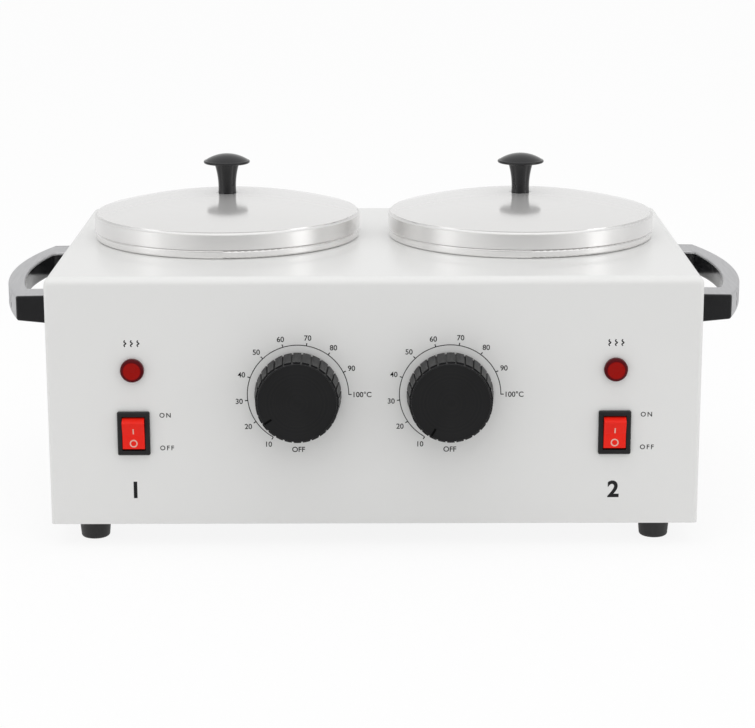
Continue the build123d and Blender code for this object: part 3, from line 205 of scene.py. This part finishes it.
def place(piece, location=(0, 0, 0), rotation=(0, 0, 0)):
    """Moves and turns a mesh by its vertices, so that its object stays at the origin."""
    pick(piece)
    piece.location = location
    piece.rotation_euler = rotation
    bpy.ops.object.transform_apply(location=True, rotation=True, scale=True)
    return piece


def joined(pieces, name):
    """One named mesh made of several."""
    pick(pieces[0])
    for piece in pieces[1:]:
        piece.select_set(True)
    if len(pieces) > 1:
        bpy.ops.object.join()
    whole = bpy.context.object
    whole.name = name
    whole.data.name = name
    return whole


def as_mesh(piece):
    """Turns a text or a curve into a mesh."""
    pick(piece)
    bpy.ops.object.convert(target="MESH")
    return bpy.context.object


def apply_modifiers(piece):
    """Makes the piece's modifiers part of its mesh."""
    pick(piece)
    for modifier in list(piece.modifiers):
        bpy.ops.object.modifier_apply(modifier=modifier.name)
    return piece


def half_size(piece):
    """Half the width and half the height of a mesh that lies in the XY plane, and its middle."""
    xs = [vertex.co.x for vertex in piece.data.vertices]
    ys = [vertex.co.y for vertex in piece.data.vertices]
    middle = ((min(xs) + max(xs)) / 2, (min(ys) + max(ys)) / 2)
    return (max(xs) - min(xs)) / 2, (max(ys) - min(ys)) / 2, middle


def lettering(words, size, spacing=1.0, weight=INK_WEIGHT):
    """Words or numbers as a thin mesh in the XY plane, its middle at the origin."""
    deselect()
    bpy.ops.object.text_add(location=(0, 0, 0))
    text = bpy.context.object
    text.data.body = words
    text.data.size = size
    text.data.space_character = spacing
    text.data.offset = weight
    text.data.extrude = INK_THICKNESS / 2
    mesh = as_mesh(text)
    middle = half_size(mesh)[2]
    return place(mesh, (-middle[0], -middle[1], 0))


def on_front(piece, x, z):
    """Stands a flat mark upright on the front panel."""
    return place(piece, (x, FRONT_Y - INK_THICKNESS / 2, z), (pi / 2, 0, 0))


def bar(x, z, length, width, angle):
    """A short printed bar, its length turned by an angle from the X axis."""
    deselect()
    bpy.ops.mesh.primitive_cube_add(size=1, location=(0, 0, 0))
    piece = bpy.context.object
    piece.scale = (length, INK_THICKNESS, width)
    return place(piece, (x, FRONT_Y - INK_THICKNESS / 2, z), (0, -angle, 0))


def arc_line(x, z):
    """The fine line round a dial: its section spun round the dial's axis."""
    section = bar(x + SCALE_RADIUS, z, SCALE_LINE, SCALE_LINE, 0)
    bpy.ops.object.mode_set(mode="EDIT")
    bpy.ops.mesh.select_mode(type="FACE")
    bpy.ops.mesh.select_all(action="SELECT")
    bpy.ops.mesh.delete(type="ONLY_FACE")
    bpy.ops.mesh.select_mode(type="VERT")
    bpy.ops.mesh.select_all(action="DESELECT")
    bpy.ops.object.mode_set(mode="OBJECT")
    for vertex in section.data.vertices:
        vertex.select = vertex.co.z > z
    bpy.ops.object.mode_set(mode="EDIT")
    bpy.ops.mesh.delete(type="VERT")
    bpy.ops.mesh.select_all(action="SELECT")
    bpy.ops.mesh.edge_face_add()
    bpy.ops.mesh.select_all(action="SELECT")
    bpy.ops.mesh.spin(
        steps=SCALE_STEPS, angle=radians(SCALE_SPAN), center=(x, FRONT_Y, z), axis=(0, 1, 0)
    )
    bpy.ops.mesh.select_all(action="SELECT")
    bpy.ops.mesh.remove_doubles(threshold=0.001 * MM)
    bpy.ops.mesh.normals_make_consistent(inside=False)
    bpy.ops.object.mode_set(mode="OBJECT")
    return section


def dial_scale(side):
    """Arc, ticks and plain numbers round one dial."""
    centre = centre_of(side + "_control_knob")
    pieces = [arc_line(centre.x, centre.z)]
    numbers = range(FIRST_NUMBER, LAST_NUMBER + 1, NUMBER_STEP)
    for index, number in enumerate(reversed(numbers)):
        angle = radians(SCALE_SPAN * index / (len(numbers) - 1))
        tick = SCALE_RADIUS + TICK_LENGTH / 2
        pieces.append(
            bar(centre.x + tick * cos(angle), centre.z + tick * sin(angle), TICK_LENGTH, TICK_WIDTH, angle)
        )
        words = str(number) + ("°C" if number == LAST_NUMBER else "")
        text = lettering(words, NUMBER_SIZE)
        wide, high, _ = half_size(text)
        reach = SCALE_RADIUS + TICK_LENGTH + NUMBER_GAP + wide * abs(cos(angle)) + high * abs(sin(angle))
        pieces.append(on_front(text, centre.x + reach * cos(angle), centre.z + reach * sin(angle)))
    pieces.append(on_front(lettering("OFF", OFF_SIZE), centre.x, centre.z - OFF_DROP))
    return joined(pieces, side + "_dial_scale")


def switch_words(side):
    """ON and OFF beside one switch, their left edges in line."""
    centre = centre_of(side + "_switch_frame")
    pieces = []
    for words, rise in (("ON", SWITCH_ON_RISE), ("OFF", -SWITCH_OFF_DROP)):
        text = lettering(words, SWITCH_WORD_SIZE, SWITCH_WORD_SPACING)
        pieces.append(on_front(text, centre.x + SWITCH_WORD_GAP + half_size(text)[0], centre.z + rise))
    return joined(pieces, side + "_switch_words")


def wave_line(x, z):
    """One upright wavy line of the heat mark."""
    deselect()
    bpy.ops.curve.primitive_nurbs_path_add()
    line = bpy.context.object
    line.data.bevel_depth = HEAT_LINE_RADIUS
    line.data.bevel_resolution = 2
    line.data.use_fill_caps = True
    spline = line.data.splines[0]
    spline.order_u = 3
    last = len(spline.points) - 1
    for index, point in enumerate(spline.points):
        swing = HEAT_SWING * (-1) ** index if 0 < index < last else 0
        point.co = (swing, 0, HEAT_HEIGHT * (index / last - 0.5), 1)
    mesh = as_mesh(line)
    mesh.scale = (1, INK_THICKNESS / (2 * HEAT_LINE_RADIUS), 1)
    return place(mesh, (x, FRONT_Y - INK_THICKNESS / 2, z))


def heat_mark(side):
    """Three wavy lines over one pilot lamp."""
    centre = centre_of(side + "_pilot_lamp_lens")
    z = centre.z + HEAT_RISE
    lines = [wave_line(centre.x + step * HEAT_PITCH, z) for step in (-1, 0, 1)]
    return joined(lines, side + "_heat_mark")


def side_number(side, number):
    """A plain number under one switch."""
    x = centre_of(side + "_switch_frame").x
    text = lettering(number, SIDE_NUMBER_SIZE, weight=SIDE_NUMBER_WEIGHT)
    return joined([on_front(text, x, BOTTOM_Z + SIDE_NUMBER_Z)], side + "_number")


def print_marks():
    """Everything printed on the front panel."""
    for side, number in zip(SIDES, ("1", "2")):
        marks = (dial_scale(side), switch_words(side), heat_mark(side), side_number(side, number))
        for mark in marks:
            mark.data.materials.clear()
            mark.data.materials.append(ink_material())
            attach(mark, "housing")


def projected(mark, target):
    """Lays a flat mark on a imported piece, looking from the front."""
    wrap = mark.modifiers.new("lay", "SHRINKWRAP")
    wrap.target = target
    wrap.wrap_method = "PROJECT"
    wrap.use_project_x = False
    wrap.use_project_y = True
    wrap.use_project_z = False
    wrap.use_negative_direction = False
    wrap.use_positive_direction = True
    wrap.offset = INK_THICKNESS
    return apply_modifiers(mark)


def rocker_ring(x, y, z):
    """The flat upright ring of the O."""
    deselect()
    bpy.ops.mesh.primitive_circle_add(
        vertices=ROCKER_RING_SIDES, radius=ROCKER_RING, fill_type="NOTHING"
    )
    ring = bpy.context.object
    bpy.ops.object.mode_set(mode="EDIT")
    bpy.ops.mesh.select_all(action="SELECT")
    bpy.ops.mesh.extrude_edges_move()
    factor = 1 - ROCKER_LINE / ROCKER_RING
    bpy.ops.transform.resize(value=(factor, factor, factor))
    bpy.ops.object.mode_set(mode="OBJECT")
    return place(ring, (x, y, z), (pi / 2, 0, 0))


def rocker_stroke(x, y, z):
    """The flat upright stroke of the I."""
    deselect()
    bpy.ops.mesh.primitive_plane_add(size=1)
    stroke = bpy.context.object
    stroke.scale = (ROCKER_LINE, ROCKER_STROKE, 1)
    bpy.ops.object.transform_apply(location=True, rotation=True, scale=True)
    bpy.ops.object.mode_set(mode="EDIT")
    bpy.ops.mesh.select_all(action="SELECT")
    bpy.ops.mesh.subdivide(number_cuts=ROCKER_STROKE_CUTS)
    bpy.ops.object.mode_set(mode="OBJECT")
    return place(stroke, (x, y, z), (pi / 2, 0, 0))


def rocker_marks(side):
    """The I and the O on one rocker."""
    centre = centre_of(side + "_rocker")
    in_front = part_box(side + "_rocker")[0].y - MARK_STANDOFF
    ring = rocker_ring(centre.x, in_front, centre.z - ROCKER_RING_DROP)
    stroke = rocker_stroke(centre.x, in_front, centre.z + ROCKER_STROKE_RISE)
    mark = projected(joined([ring, stroke], side + "_rocker_marks"), nodes[side + "_rocker"])
    solid = mark.modifiers.new("body", "SOLIDIFY")
    solid.thickness = INK_THICKNESS
    solid.offset = 1
    apply_modifiers(mark)
    mark.data.materials.clear()
    mark.data.materials.append(mark_paint_material())
    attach(mark, side + "_rocker")


# Shared effects, as node groups that put out masks and heights only


def group(name, inputs, outputs):
    """A new node group with named float or vector sockets."""
    tree = bpy.data.node_groups.new(name, "ShaderNodeTree")
    for socket, kind, value in inputs:
        made = tree.interface.new_socket(socket, in_out="INPUT", socket_type=kind)
        if value is not None:
            made.default_value = value
    for socket in outputs:
        tree.interface.new_socket(socket, in_out="OUTPUT", socket_type="NodeSocketFloat")
    return tree, tree.nodes.new("NodeGroupInput"), tree.nodes.new("NodeGroupOutput")


def feed(tree, socket, value):
    """Links a socket to another one, or gives it a plain value."""
    if isinstance(value, bpy.types.NodeSocket):
        tree.links.new(value, socket)
    elif value is not None:
        socket.default_value = value


def math_node(tree, operation, first, second=None):
    """A Math node whose inputs are sockets or plain numbers."""
    node = tree.nodes.new("ShaderNodeMath")
    node.operation = operation
    feed(tree, node.inputs[0], first)
    feed(tree, node.inputs[1], second)
    return node.outputs[0]


def noise_node(tree, vector, scale, detail=2.0, dimensions="3D"):
    """A noise over a vector, or over a plain value with one dimension."""
    node = tree.nodes.new("ShaderNodeTexNoise")
    node.noise_dimensions = dimensions
    node.inputs["Detail"].default_value = detail
    tree.links.new(vector, node.inputs["W" if dimensions == "1D" else "Vector"])
    feed(tree, node.inputs["Scale"], scale)
    return node.outputs[0]


def ranged(tree, value, low, high, first=0.0, last=1.0):
    """Runs softly from one number to another while a value goes from low to high."""
    node = tree.nodes.new("ShaderNodeMapRange")
    node.interpolation_type = "SMOOTHSTEP"
    for socket, number in (("From Min", low), ("From Max", high), ("To Min", first), ("To Max", last)):
        node.inputs[socket].default_value = number
    tree.links.new(value, node.inputs["Value"])
    return node.outputs["Result"]


def vector_node(tree, operation, first, second=None):
    """A Vector Math node; its inputs are sockets or plain vectors."""
    node = tree.nodes.new("ShaderNodeVectorMath")
    node.operation = operation
    feed(tree, node.inputs[0], first)
    feed(tree, node.inputs[1], second)
    return node.outputs["Value" if operation == "LENGTH" else "Vector"]


def axes(tree, vector):
    """The X, Y and Z of a vector, as sockets by name."""
    node = tree.nodes.new("ShaderNodeSeparateXYZ")
    tree.links.new(vector, node.inputs[0])
    return node.outputs


def mottle_group():
    """Soft cloudy variation: handling, uneven gloss, faint stains."""
    tree, entry, exit_ = group(
        "soft mottle",
        (("Position", "NodeSocketVector", None), ("Scale", "NodeSocketFloat", 30.0)),
        ("Mask",),
    )
    noise = noise_node(tree, entry.outputs["Position"], entry.outputs["Scale"], 4.0)
    tree.links.new(ranged(tree, noise, NOISE_LOW, NOISE_HIGH), exit_.inputs["Mask"])
    return tree


def grain_group():
    """Fine moulded or sprayed texture, as a height."""
    tree, entry, exit_ = group(
        "fine grain",
        (("Position", "NodeSocketVector", None), ("Scale", "NodeSocketFloat", 900.0)),
        ("Height",),
    )
    noise = noise_node(tree, entry.outputs["Position"], entry.outputs["Scale"], 1.5)
    tree.links.new(noise, exit_.inputs["Height"])
    return tree


def spun_group():
    """Fine rings round an axis, as a lathe leaves them."""
    tree, entry, exit_ = group(
        "spun rings",
        (
            ("Position", "NodeSocketVector", None),
            ("Keep", "NodeSocketVector", (1.0, 1.0, 0.0)),
            ("Scale", "NodeSocketFloat", 4000.0),
        ),
        ("Height", "Mask"),
    )
    kept = vector_node(tree, "MULTIPLY", entry.outputs["Position"], entry.outputs["Keep"])
    radius = vector_node(tree, "LENGTH", kept)
    fine = noise_node(tree, radius, entry.outputs["Scale"], 3.0, "1D")
    coarse_scale = math_node(tree, "MULTIPLY", entry.outputs["Scale"], 0.12)
    coarse = noise_node(tree, radius, coarse_scale, 2.0, "1D")
    tree.links.new(fine, exit_.inputs["Height"])
    tree.links.new(ranged(tree, coarse, NOISE_LOW, NOISE_HIGH), exit_.inputs["Mask"])
    return tree


def brushed_group():
    """Straight brushing along one axis, as a height and a mask."""
    tree, entry, exit_ = group(
        "straight brushing",
        (
            ("Position", "NodeSocketVector", None),
            ("Stretch", "NodeSocketVector", (1.0, 0.02, 1.0)),
            ("Scale", "NodeSocketFloat", 2500.0),
        ),
        ("Height", "Mask"),
    )
    stretched = vector_node(tree, "MULTIPLY", entry.outputs["Position"], entry.outputs["Stretch"])
    noise = noise_node(tree, stretched, entry.outputs["Scale"], 3.0)
    tree.links.new(noise, exit_.inputs["Height"])
    tree.links.new(ranged(tree, noise, NOISE_LOW, NOISE_HIGH), exit_.inputs["Mask"])
    return tree


GROUPS = {
    "mottle": mottle_group(),
    "grain": grain_group(),
    "spun": spun_group(),
    "brushed": brushed_group(),
}


class Finish:
    """A material under construction: its Principled shader and its object coordinates."""

    def __init__(self, name, colour, roughness, metallic=0.0, centre=(0, 0, 0)):
        self.material = bpy.data.materials.new(name)
        self.material.use_nodes = True
        self.tree = self.material.node_tree
        self.shader = self.tree.nodes["Principled BSDF"]
        self.shader.inputs["Base Color"].default_value = (*colour, 1)
        self.shader.inputs["Roughness"].default_value = roughness
        self.shader.inputs["Metallic"].default_value = metallic
        self.colour = colour
        coordinates = self.tree.nodes.new("ShaderNodeTexCoord")
        mapping = self.tree.nodes.new("ShaderNodeMapping")
        mapping.vector_type = "POINT"
        mapping.inputs["Location"].default_value = [-value for value in centre]
        self.tree.links.new(coordinates.outputs["Object"], mapping.inputs["Vector"])
        self.position = mapping.outputs["Vector"]

    def effect(self, name, **values):
        """One of the shared effects, placed in this material with its own values."""
        node = self.tree.nodes.new("ShaderNodeGroup")
        node.node_tree = GROUPS[name]
        self.tree.links.new(self.position, node.inputs["Position"])
        for socket, value in values.items():
            node.inputs[socket].default_value = value
        return node

    def colour_by(self, mask, other):
        """Mixes the base colour towards another by a mask."""
        base = self.shader.inputs["Base Color"]
        mix = self.tree.nodes.new("ShaderNodeMix")
        mix.data_type = "RGBA"
        feed(self.tree, mix.inputs["A"], base.links[0].from_socket if base.is_linked else (*self.colour, 1))
        mix.inputs["B"].default_value = (*other, 1)
        self.tree.links.new(mask, mix.inputs["Factor"])
        self.tree.links.new(mix.outputs["Result"], base)
        return self

    def roughness_by(self, mask, low, high):
        """Runs the roughness between two levels by a mask."""
        node = self.tree.nodes.new("ShaderNodeMapRange")
        node.inputs["To Min"].default_value = low
        node.inputs["To Max"].default_value = high
        self.tree.links.new(mask, node.inputs["Value"])
        self.tree.links.new(node.outputs["Result"], self.shader.inputs["Roughness"])
        return self

    def bump_by(self, height, distance):
        """Lets a height show as relief of a real depth."""
        bump = self.tree.nodes.new("ShaderNodeBump")
        bump.inputs["Strength"].default_value = 1.0
        bump.inputs["Distance"].default_value = distance
        self.tree.links.new(height, bump.inputs["Height"])
        self.tree.links.new(bump.outputs["Normal"], self.shader.inputs["Normal"])
        return self

    def turned(self, keep, lean):
        """Fine grooves round the position's axis: the shine spreads straight out across them."""
        outward = vector_node(self.tree, "MULTIPLY", self.position, keep)
        leaning = vector_node(self.tree, "ADD", vector_node(self.tree, "NORMALIZE", outward), lean)
        self.tree.links.new(leaning, self.shader.inputs["Tangent"])
        return self

    def set(self, **values):
        """Gives sockets of the shader plain values, by name."""
        for socket, value in values.items():
            self.shader.inputs[socket.replace("_", " ")].default_value = value
        return self


def moulded(name, colour, other, roughness, grain=900.0, depth=0.01 * MM):
    """A moulded plastic or rubber with fine grain and uneven gloss."""
    finish = Finish(name, colour, roughness)
    mottle = finish.effect("mottle", Scale=45.0).outputs["Mask"]
    finish.colour_by(mottle, other)
    finish.roughness_by(mottle, roughness - 0.05, roughness + 0.05)
    finish.bump_by(finish.effect("grain", Scale=grain).outputs["Height"], depth)
    return finish


def gloss_black(name, roughness, grain=500.0):
    """Black moulded plastic with a faint sheen."""
    finish = moulded(name, BLACK, BLACK_RUBBED, roughness, grain, FINE_BUMP)
    return finish.set(Specular_IOR_Level=0.4)


def housing_paint():
    """White gloss enamel on sheet steel, with a trace of orange peel."""
    finish = Finish("housing_paint", ENAMEL, 0.3)
    mottle = finish.effect("mottle", Scale=12.0).outputs["Mask"]
    finish.colour_by(mottle, ENAMEL_SHADE)
    finish.roughness_by(mottle, 0.29, 0.31)
    finish.bump_by(finish.effect("grain", Scale=260.0).outputs["Height"], 0.02 * MM)
    return finish.set(Coat_Weight=0.35, Coat_Roughness=0.12)


def spun_aluminium(side, name, low, high, depth):
    """Aluminium turned on a lathe round the axis of one side's pot."""
    centre = centre_of(side + "_pot")
    finish = Finish(side + "_" + name, ALUMINIUM, low, 0.9, (centre.x, centre.y, 0))
    spun = finish.effect("spun", Keep=(1.0, 1.0, 0.0), Scale=3200.0)
    finish.colour_by(spun.outputs["Mask"], [value * 0.99 for value in ALUMINIUM])
    finish.roughness_by(spun.outputs["Mask"], low, high)
    finish.bump_by(spun.outputs["Height"], depth)
    return finish


def lid_aluminium(side):
    """Turned lid: the crown is satin, the skirt shines in upright streaks."""
    finish = spun_aluminium(side, "lid_aluminium", 0.15, 0.2, FINE_BUMP / 2)
    tree = finish.tree
    height = axes(tree, finish.position)["Z"]
    skirt_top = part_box(side + "_lid")[1].z - SKIRT_TOP_DROP
    ranges = (("Metallic", SKIRT_METALLIC, CROWN_METALLIC), ("Roughness", SKIRT_ROUGHNESS, CROWN_ROUGHNESS))
    for socket, skirt, crown in ranges:
        level = ranged(tree, height, skirt_top - SKIRT_TOP_BLEND, skirt_top, skirt, crown)
        tree.links.new(level, finish.shader.inputs[socket])
    return finish.turned((1, 1, 0), (0, 0, -1)).set(Anisotropic=0.75)


def dial_face(side):
    """Black anodised disc, turned, so that its shine runs out in a bow tie; painted shade makes its pointer
    groove dull black.
    """
    centre = centre_of(side + "_control_knob_face")
    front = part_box(side + "_control_knob_face")[0].y
    finish = Finish(side + "_dial_face", DIAL_BLACK, 0.45, DIAL_METALLIC, (centre.x, 0, centre.z))
    spun = finish.effect("spun", Keep=(1.0, 0.0, 1.0), Scale=9000.0)
    finish.colour_by(spun.outputs["Mask"], DIAL_BLACK_RINGS)
    finish.roughness_by(spun.outputs["Mask"], 0.44, 0.46)
    depth = axes(finish.tree, finish.position)["Y"]
    # Painted shade: faces of the pointer groove behind the front turn near-black and lose their metal
    # sheen.
    painted = (front + GROOVE_SHADE_TOP, front + GROOVE_SHADE_FULL)
    finish.colour_by(ranged(finish.tree, depth, *painted), POINTER_GROOVE_SHADE)
    metallic = ranged(finish.tree, depth, *painted, DIAL_METALLIC, 0.0)
    finish.tree.links.new(metallic, finish.shader.inputs["Metallic"])
    return finish.turned((1, 0, 1), (0, 0, 0)).set(Anisotropic=0.9, Specular_IOR_Level=0.1)


def handle_trim():
    """Satin silver finish over the handles."""
    finish = Finish("handle_trim", SATIN_CHROME, 0.38, 0.75)
    brushed = finish.effect("brushed", Stretch=(1.0, 0.03, 1.0), Scale=1800.0)
    finish.colour_by(brushed.outputs["Mask"], SATIN_CHROME_SHADE)
    finish.roughness_by(brushed.outputs["Mask"], 0.34, 0.44)
    finish.bump_by(brushed.outputs["Height"], 0.006 * MM)
    return finish


def brushed_metal(name, colour, roughness):
    """Bare metal with fine straight brushing."""
    finish = Finish(name, colour, roughness, 1.0)
    brushed = finish.effect("brushed", Stretch=(0.05, 1.0, 1.0), Scale=1500.0)
    finish.colour_by(brushed.outputs["Mask"], [value * 0.9 for value in colour])
    finish.roughness_by(brushed.outputs["Mask"], roughness - 0.06, roughness + 0.08)
    finish.bump_by(brushed.outputs["Height"], 0.006 * MM)
    return finish


def lamp_lens(side):
    """Clear red lens: a bright flat in the middle, and painted shade, a dark ring, where its side bends
    away.
    """
    centre = centre_of(side + "_pilot_lamp_lens")
    low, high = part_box(side + "_pilot_lamp_lens")
    finish = Finish(side + "_lamp_lens", LAMP_RED, 0.3, 0.0, (centre.x, 0, centre.z))
    radius = (high.x - low.x) / 2
    across = vector_node(finish.tree, "MULTIPLY", finish.position, (1, 0, 1))
    from_axis = vector_node(finish.tree, "LENGTH", across)
    # Painted shade: the colour darkens from the flat out to the rim, where the lens side bends away.
    ring = ranged(finish.tree, from_axis, radius * LENS_FLAT, radius * LENS_RING)
    finish.colour_by(ring, LAMP_RED_EDGE_SHADE)
    mottle = finish.effect("mottle", Scale=160.0).outputs["Mask"]
    finish.roughness_by(mottle, 0.24, 0.34)
    return finish.set(Specular_IOR_Level=0.12)


def rocker_plastic():
    """Glossy red translucent plastic."""
    finish = Finish("rocker_red", ROCKER_RED, 0.32)
    mottle = finish.effect("mottle", Scale=120.0).outputs["Mask"]
    finish.colour_by(mottle, ROCKER_RED_SHADE)
    finish.roughness_by(mottle, 0.28, 0.36)
    finish.bump_by(finish.effect("grain", Scale=700.0).outputs["Height"], FINE_BUMP)
    return finish.set(Specular_IOR_Level=0.2)


def glass_wool():
    """Woven glass-fibre sleeve."""
    finish = Finish("glass_wool", SLEEVE, 0.9)
    weave = finish.effect("brushed", Stretch=(1.0, 1.0, 0.08), Scale=900.0)
    finish.colour_by(weave.outputs["Mask"], SLEEVE_SHADE)
    finish.bump_by(weave.outputs["Height"], 0.3 * MM)
    return finish


def ink_material():
    """Dark grey screen-printing ink."""
    if "panel_ink" in bpy.data.materials:
        return bpy.data.materials["panel_ink"]
    finish = moulded("panel_ink", INK, INK_SHADE, 0.6, 1500.0, FINE_BUMP)
    return finish.set(Specular_IOR_Level=0.25).material


def mark_paint_material():
    """Pale paint in the rockers' marks."""
    if "rocker_mark" in bpy.data.materials:
        return bpy.data.materials["rocker_mark"]
    finish = moulded("rocker_mark", MARK_PAINT, MARK_PAINT_SHADE, 0.45, 1500.0, FINE_BUMP)
    return finish.material


def shared_finishes():
    """The finish of each material slot that looks the same on both sides."""
    return {
        "housing_paint": housing_paint(),
        "plain_steel": brushed_metal("plain_steel", (0.56, 0.56, 0.57), 0.35),
        "screw_steel": brushed_metal("screw_steel", (0.66, 0.66, 0.68), 0.28),
        "band_steel": brushed_metal("band_steel", (0.50, 0.49, 0.47), 0.4),
        "terminal_brass": brushed_metal("terminal_brass", (0.70, 0.58, 0.34), 0.3),
        "copper_tube": brushed_metal("copper_tube", (0.70, 0.36, 0.22), 0.3),
        "handle_trim": handle_trim(),
        "foot_rubber": moulded("foot_rubber", RUBBER, RUBBER_RUBBED, 0.55, 700.0, 0.03 * MM),
        "lid_knob_plastic": gloss_black("lid_knob_plastic", 0.1).set(Specular_IOR_Level=0.5),
        "dial_plastic": gloss_black("dial_plastic", 0.42, 1100.0),
        "handle_plastic": gloss_black("handle_plastic", 0.2),
        "switch_plastic": gloss_black("switch_plastic", 0.4, 1000.0),
        "gland_plastic": moulded("gland_plastic", (0.02, 0.02, 0.02), (0.03, 0.03, 0.03), 0.5, 900.0),
        "terminal_plastic": moulded("terminal_plastic", (0.80, 0.77, 0.70), (0.74, 0.71, 0.63), 0.5),
        "thermostat_plastic": moulded("thermostat_plastic", (0.45, 0.36, 0.25), (0.38, 0.30, 0.20), 0.5),
        "rocker_red": rocker_plastic(),
        "glass_wool": glass_wool(),
        "wire_brown": moulded("wire_brown", (0.20, 0.08, 0.035), (0.16, 0.06, 0.03), 0.4),
        "wire_blue": moulded("wire_blue", (0.03, 0.12, 0.45), (0.025, 0.10, 0.38), 0.4),
        "wire_green": moulded("wire_green", (0.30, 0.50, 0.05), (0.55, 0.60, 0.06), 0.4),
    }


def side_finishes():
    """Finishes that follow one piece's own axis, by node name."""
    made = {}
    for side in SIDES:
        pot = spun_aluminium(side, "pot_aluminium", 0.2, 0.28, FINE_BUMP)
        made[side + "_lid"] = lid_aluminium(side)
        made[side + "_pot"] = pot
        made[side + "_heater_well"] = pot
        made[side + "_control_knob_face"] = dial_face(side)
        made[side + "_pilot_lamp_lens"] = lamp_lens(side)
    return made


def dress_nodes():
    """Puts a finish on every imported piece."""
    by_slot = shared_finishes()
    by_node = side_finishes()
    for part in frame["record"]["subparts"]:
        node = part["node"]
        slot = part["material_slot"]
        finish = by_node[node] if node in by_node else by_slot[slot]
        nodes[node].data.materials.clear()
        nodes[node].data.materials.append(finish.material)


def level_around(tree, direction, levels):
    """A brightness that depends on the direction round the object, alike on both sides."""
    forward = math_node(tree, "MULTIPLY", direction["Y"], -1.0)
    turn = math_node(tree, "ARCTAN2", direction["X"], forward)
    share = math_node(tree, "DIVIDE", math_node(tree, "ABSOLUTE", turn), pi)
    node = tree.nodes.new("ShaderNodeValToRGB")
    ramp = node.color_ramp
    while len(ramp.elements) < len(levels):
        ramp.elements.new(0.5)
    for element, (degree, level) in zip(ramp.elements, levels):
        element.position = degree / 180
        element.color = (level, level, level, 1)
    tree.links.new(share, node.inputs["Fac"])
    return node.outputs["Color"]


def blend(tree, share, first, second):
    """A number mixed from two others; each is a socket or a plain number."""
    node = tree.nodes.new("ShaderNodeMix")
    node.data_type = "FLOAT"
    for socket, value in (("Factor", share), ("A", first), ("B", second)):
        feed(tree, node.inputs[socket], value)
    return node.outputs["Result"]


def floor_material():
    """Pale paper: white to the camera, uneven to gloss, and it keeps the object's shadow."""
    material = bpy.data.materials.new("floor_paper")
    material.use_nodes = True
    tree = material.node_tree
    shader = tree.nodes["Principled BSDF"]
    shader.inputs["Base Color"].default_value = (*FLOOR_PAPER, 1)
    shader.inputs["Roughness"].default_value = 0.9
    coordinates = tree.nodes.new("ShaderNodeTexCoord")
    around = level_around(tree, axes(tree, coordinates.outputs["Object"]), FLOOR_LEVELS)
    rays = tree.nodes.new("ShaderNodeLightPath")
    glow = tree.nodes.new("ShaderNodeEmission")
    tree.links.new(blend(tree, rays.outputs["Is Camera Ray"], around, 1.0), glow.inputs["Strength"])
    seen = math_node(tree, "MAXIMUM", rays.outputs["Is Camera Ray"], rays.outputs["Is Glossy Ray"])
    seen = math_node(tree, "MAXIMUM", seen, rays.outputs["Is Transmission Ray"])
    mix = tree.nodes.new("ShaderNodeMixShader")
    tree.links.new(math_node(tree, "MULTIPLY", seen, FLOOR_SHOWN), mix.inputs[0])
    tree.links.new(shader.outputs[0], mix.inputs[1])
    tree.links.new(glow.outputs[0], mix.inputs[2])
    tree.links.new(mix.outputs[0], tree.nodes["Material Output"].inputs["Surface"])
    return material


def studio_floor():
    """A wide sheet of paper under the feet."""
    deselect()
    bpy.ops.mesh.primitive_plane_add(size=FLOOR_SIZE, location=(0, 0, 0))
    floor = bpy.context.object
    floor.name = "studio_floor"
    floor.data.materials.append(floor_material())


def studio_world():
    """White to the camera. The object sees walls, dim in front and bright beside it, and a ceiling."""
    world = bpy.data.worlds.new("studio")
    world.use_nodes = True
    bpy.context.scene.world = world
    tree = world.node_tree
    background = tree.nodes["Background"]
    coordinates = tree.nodes.new("ShaderNodeTexCoord")
    direction = axes(tree, coordinates.outputs["Generated"])
    walls = level_around(tree, direction, WALL_LEVELS)
    ceiling = ranged(tree, direction["Y"], -1.0, 1.0, CEILING_FRONT, CEILING_BACK)
    height = ranged(tree, direction["Z"], WALL_TOP - WALL_BLEND, WALL_TOP + WALL_BLEND)
    room = blend(tree, height, walls, ceiling)
    rays = tree.nodes.new("ShaderNodeLightPath")
    level = blend(tree, rays.outputs["Is Camera Ray"], room, 1.0)
    tree.links.new(level, background.inputs["Strength"])
    background.inputs["Color"].default_value = (1, 1, 1, 1)


def softbox(name, place_at, size, power):
    """A rectangular lamp that looks at the object."""
    light = bpy.data.lights.new(name, "AREA")
    light.shape = "RECTANGLE"
    light.size, light.size_y = size
    light.energy = power
    lamp = bpy.data.objects.new(name, light)
    lamp.location = place_at
    lamp.rotation_euler = (Vector(LAMP_AIM) - Vector(place_at)).to_track_quat("-Z", "Y").to_euler()
    bpy.context.scene.collection.objects.link(lamp)
    return lamp


def studio_lights():
    """A weak lamp on each side and a large one overhead."""
    for side, sign, power in zip(SIDES, (-1, 1), SIDE_LAMP_POWERS):
        place_at = (sign * SIDE_LAMP_X, SIDE_LAMP_Y, SIDE_LAMP_Z)
        softbox(side + "_softbox", place_at, SIDE_LAMP_SIZE, power)
    overhead = softbox("top_softbox", OVERHEAD_LAMP_PLACE, OVERHEAD_LAMP_SIZE, OVERHEAD_LAMP_POWER)
    # The domed lids would mirror this lamp as a clipped white patch.
    overhead.visible_glossy = False


def make_camera():
    """A long lens a little above the object, as the photograph was taken."""
    camera = bpy.data.cameras.new("camera")
    camera.sensor_width = CAMERA_SENSOR
    camera.lens = CAMERA_LENS
    camera.clip_start = CAMERA_NEAR
    camera.clip_end = CAMERA_FAR
    holder = bpy.data.objects.new("camera", camera)
    holder.location = CAMERA_PLACE
    holder.rotation_euler = (radians(CAMERA_PITCH), radians(CAMERA_ROLL), radians(CAMERA_YAW))
    bpy.context.scene.collection.objects.link(holder)
    bpy.context.scene.camera = holder


make_camera()
dress_nodes()
print_marks()
for side in SIDES:
    rocker_marks(side)
studio_floor()
studio_world()
studio_lights()
bpy.context.scene.view_settings.view_transform = "Standard"
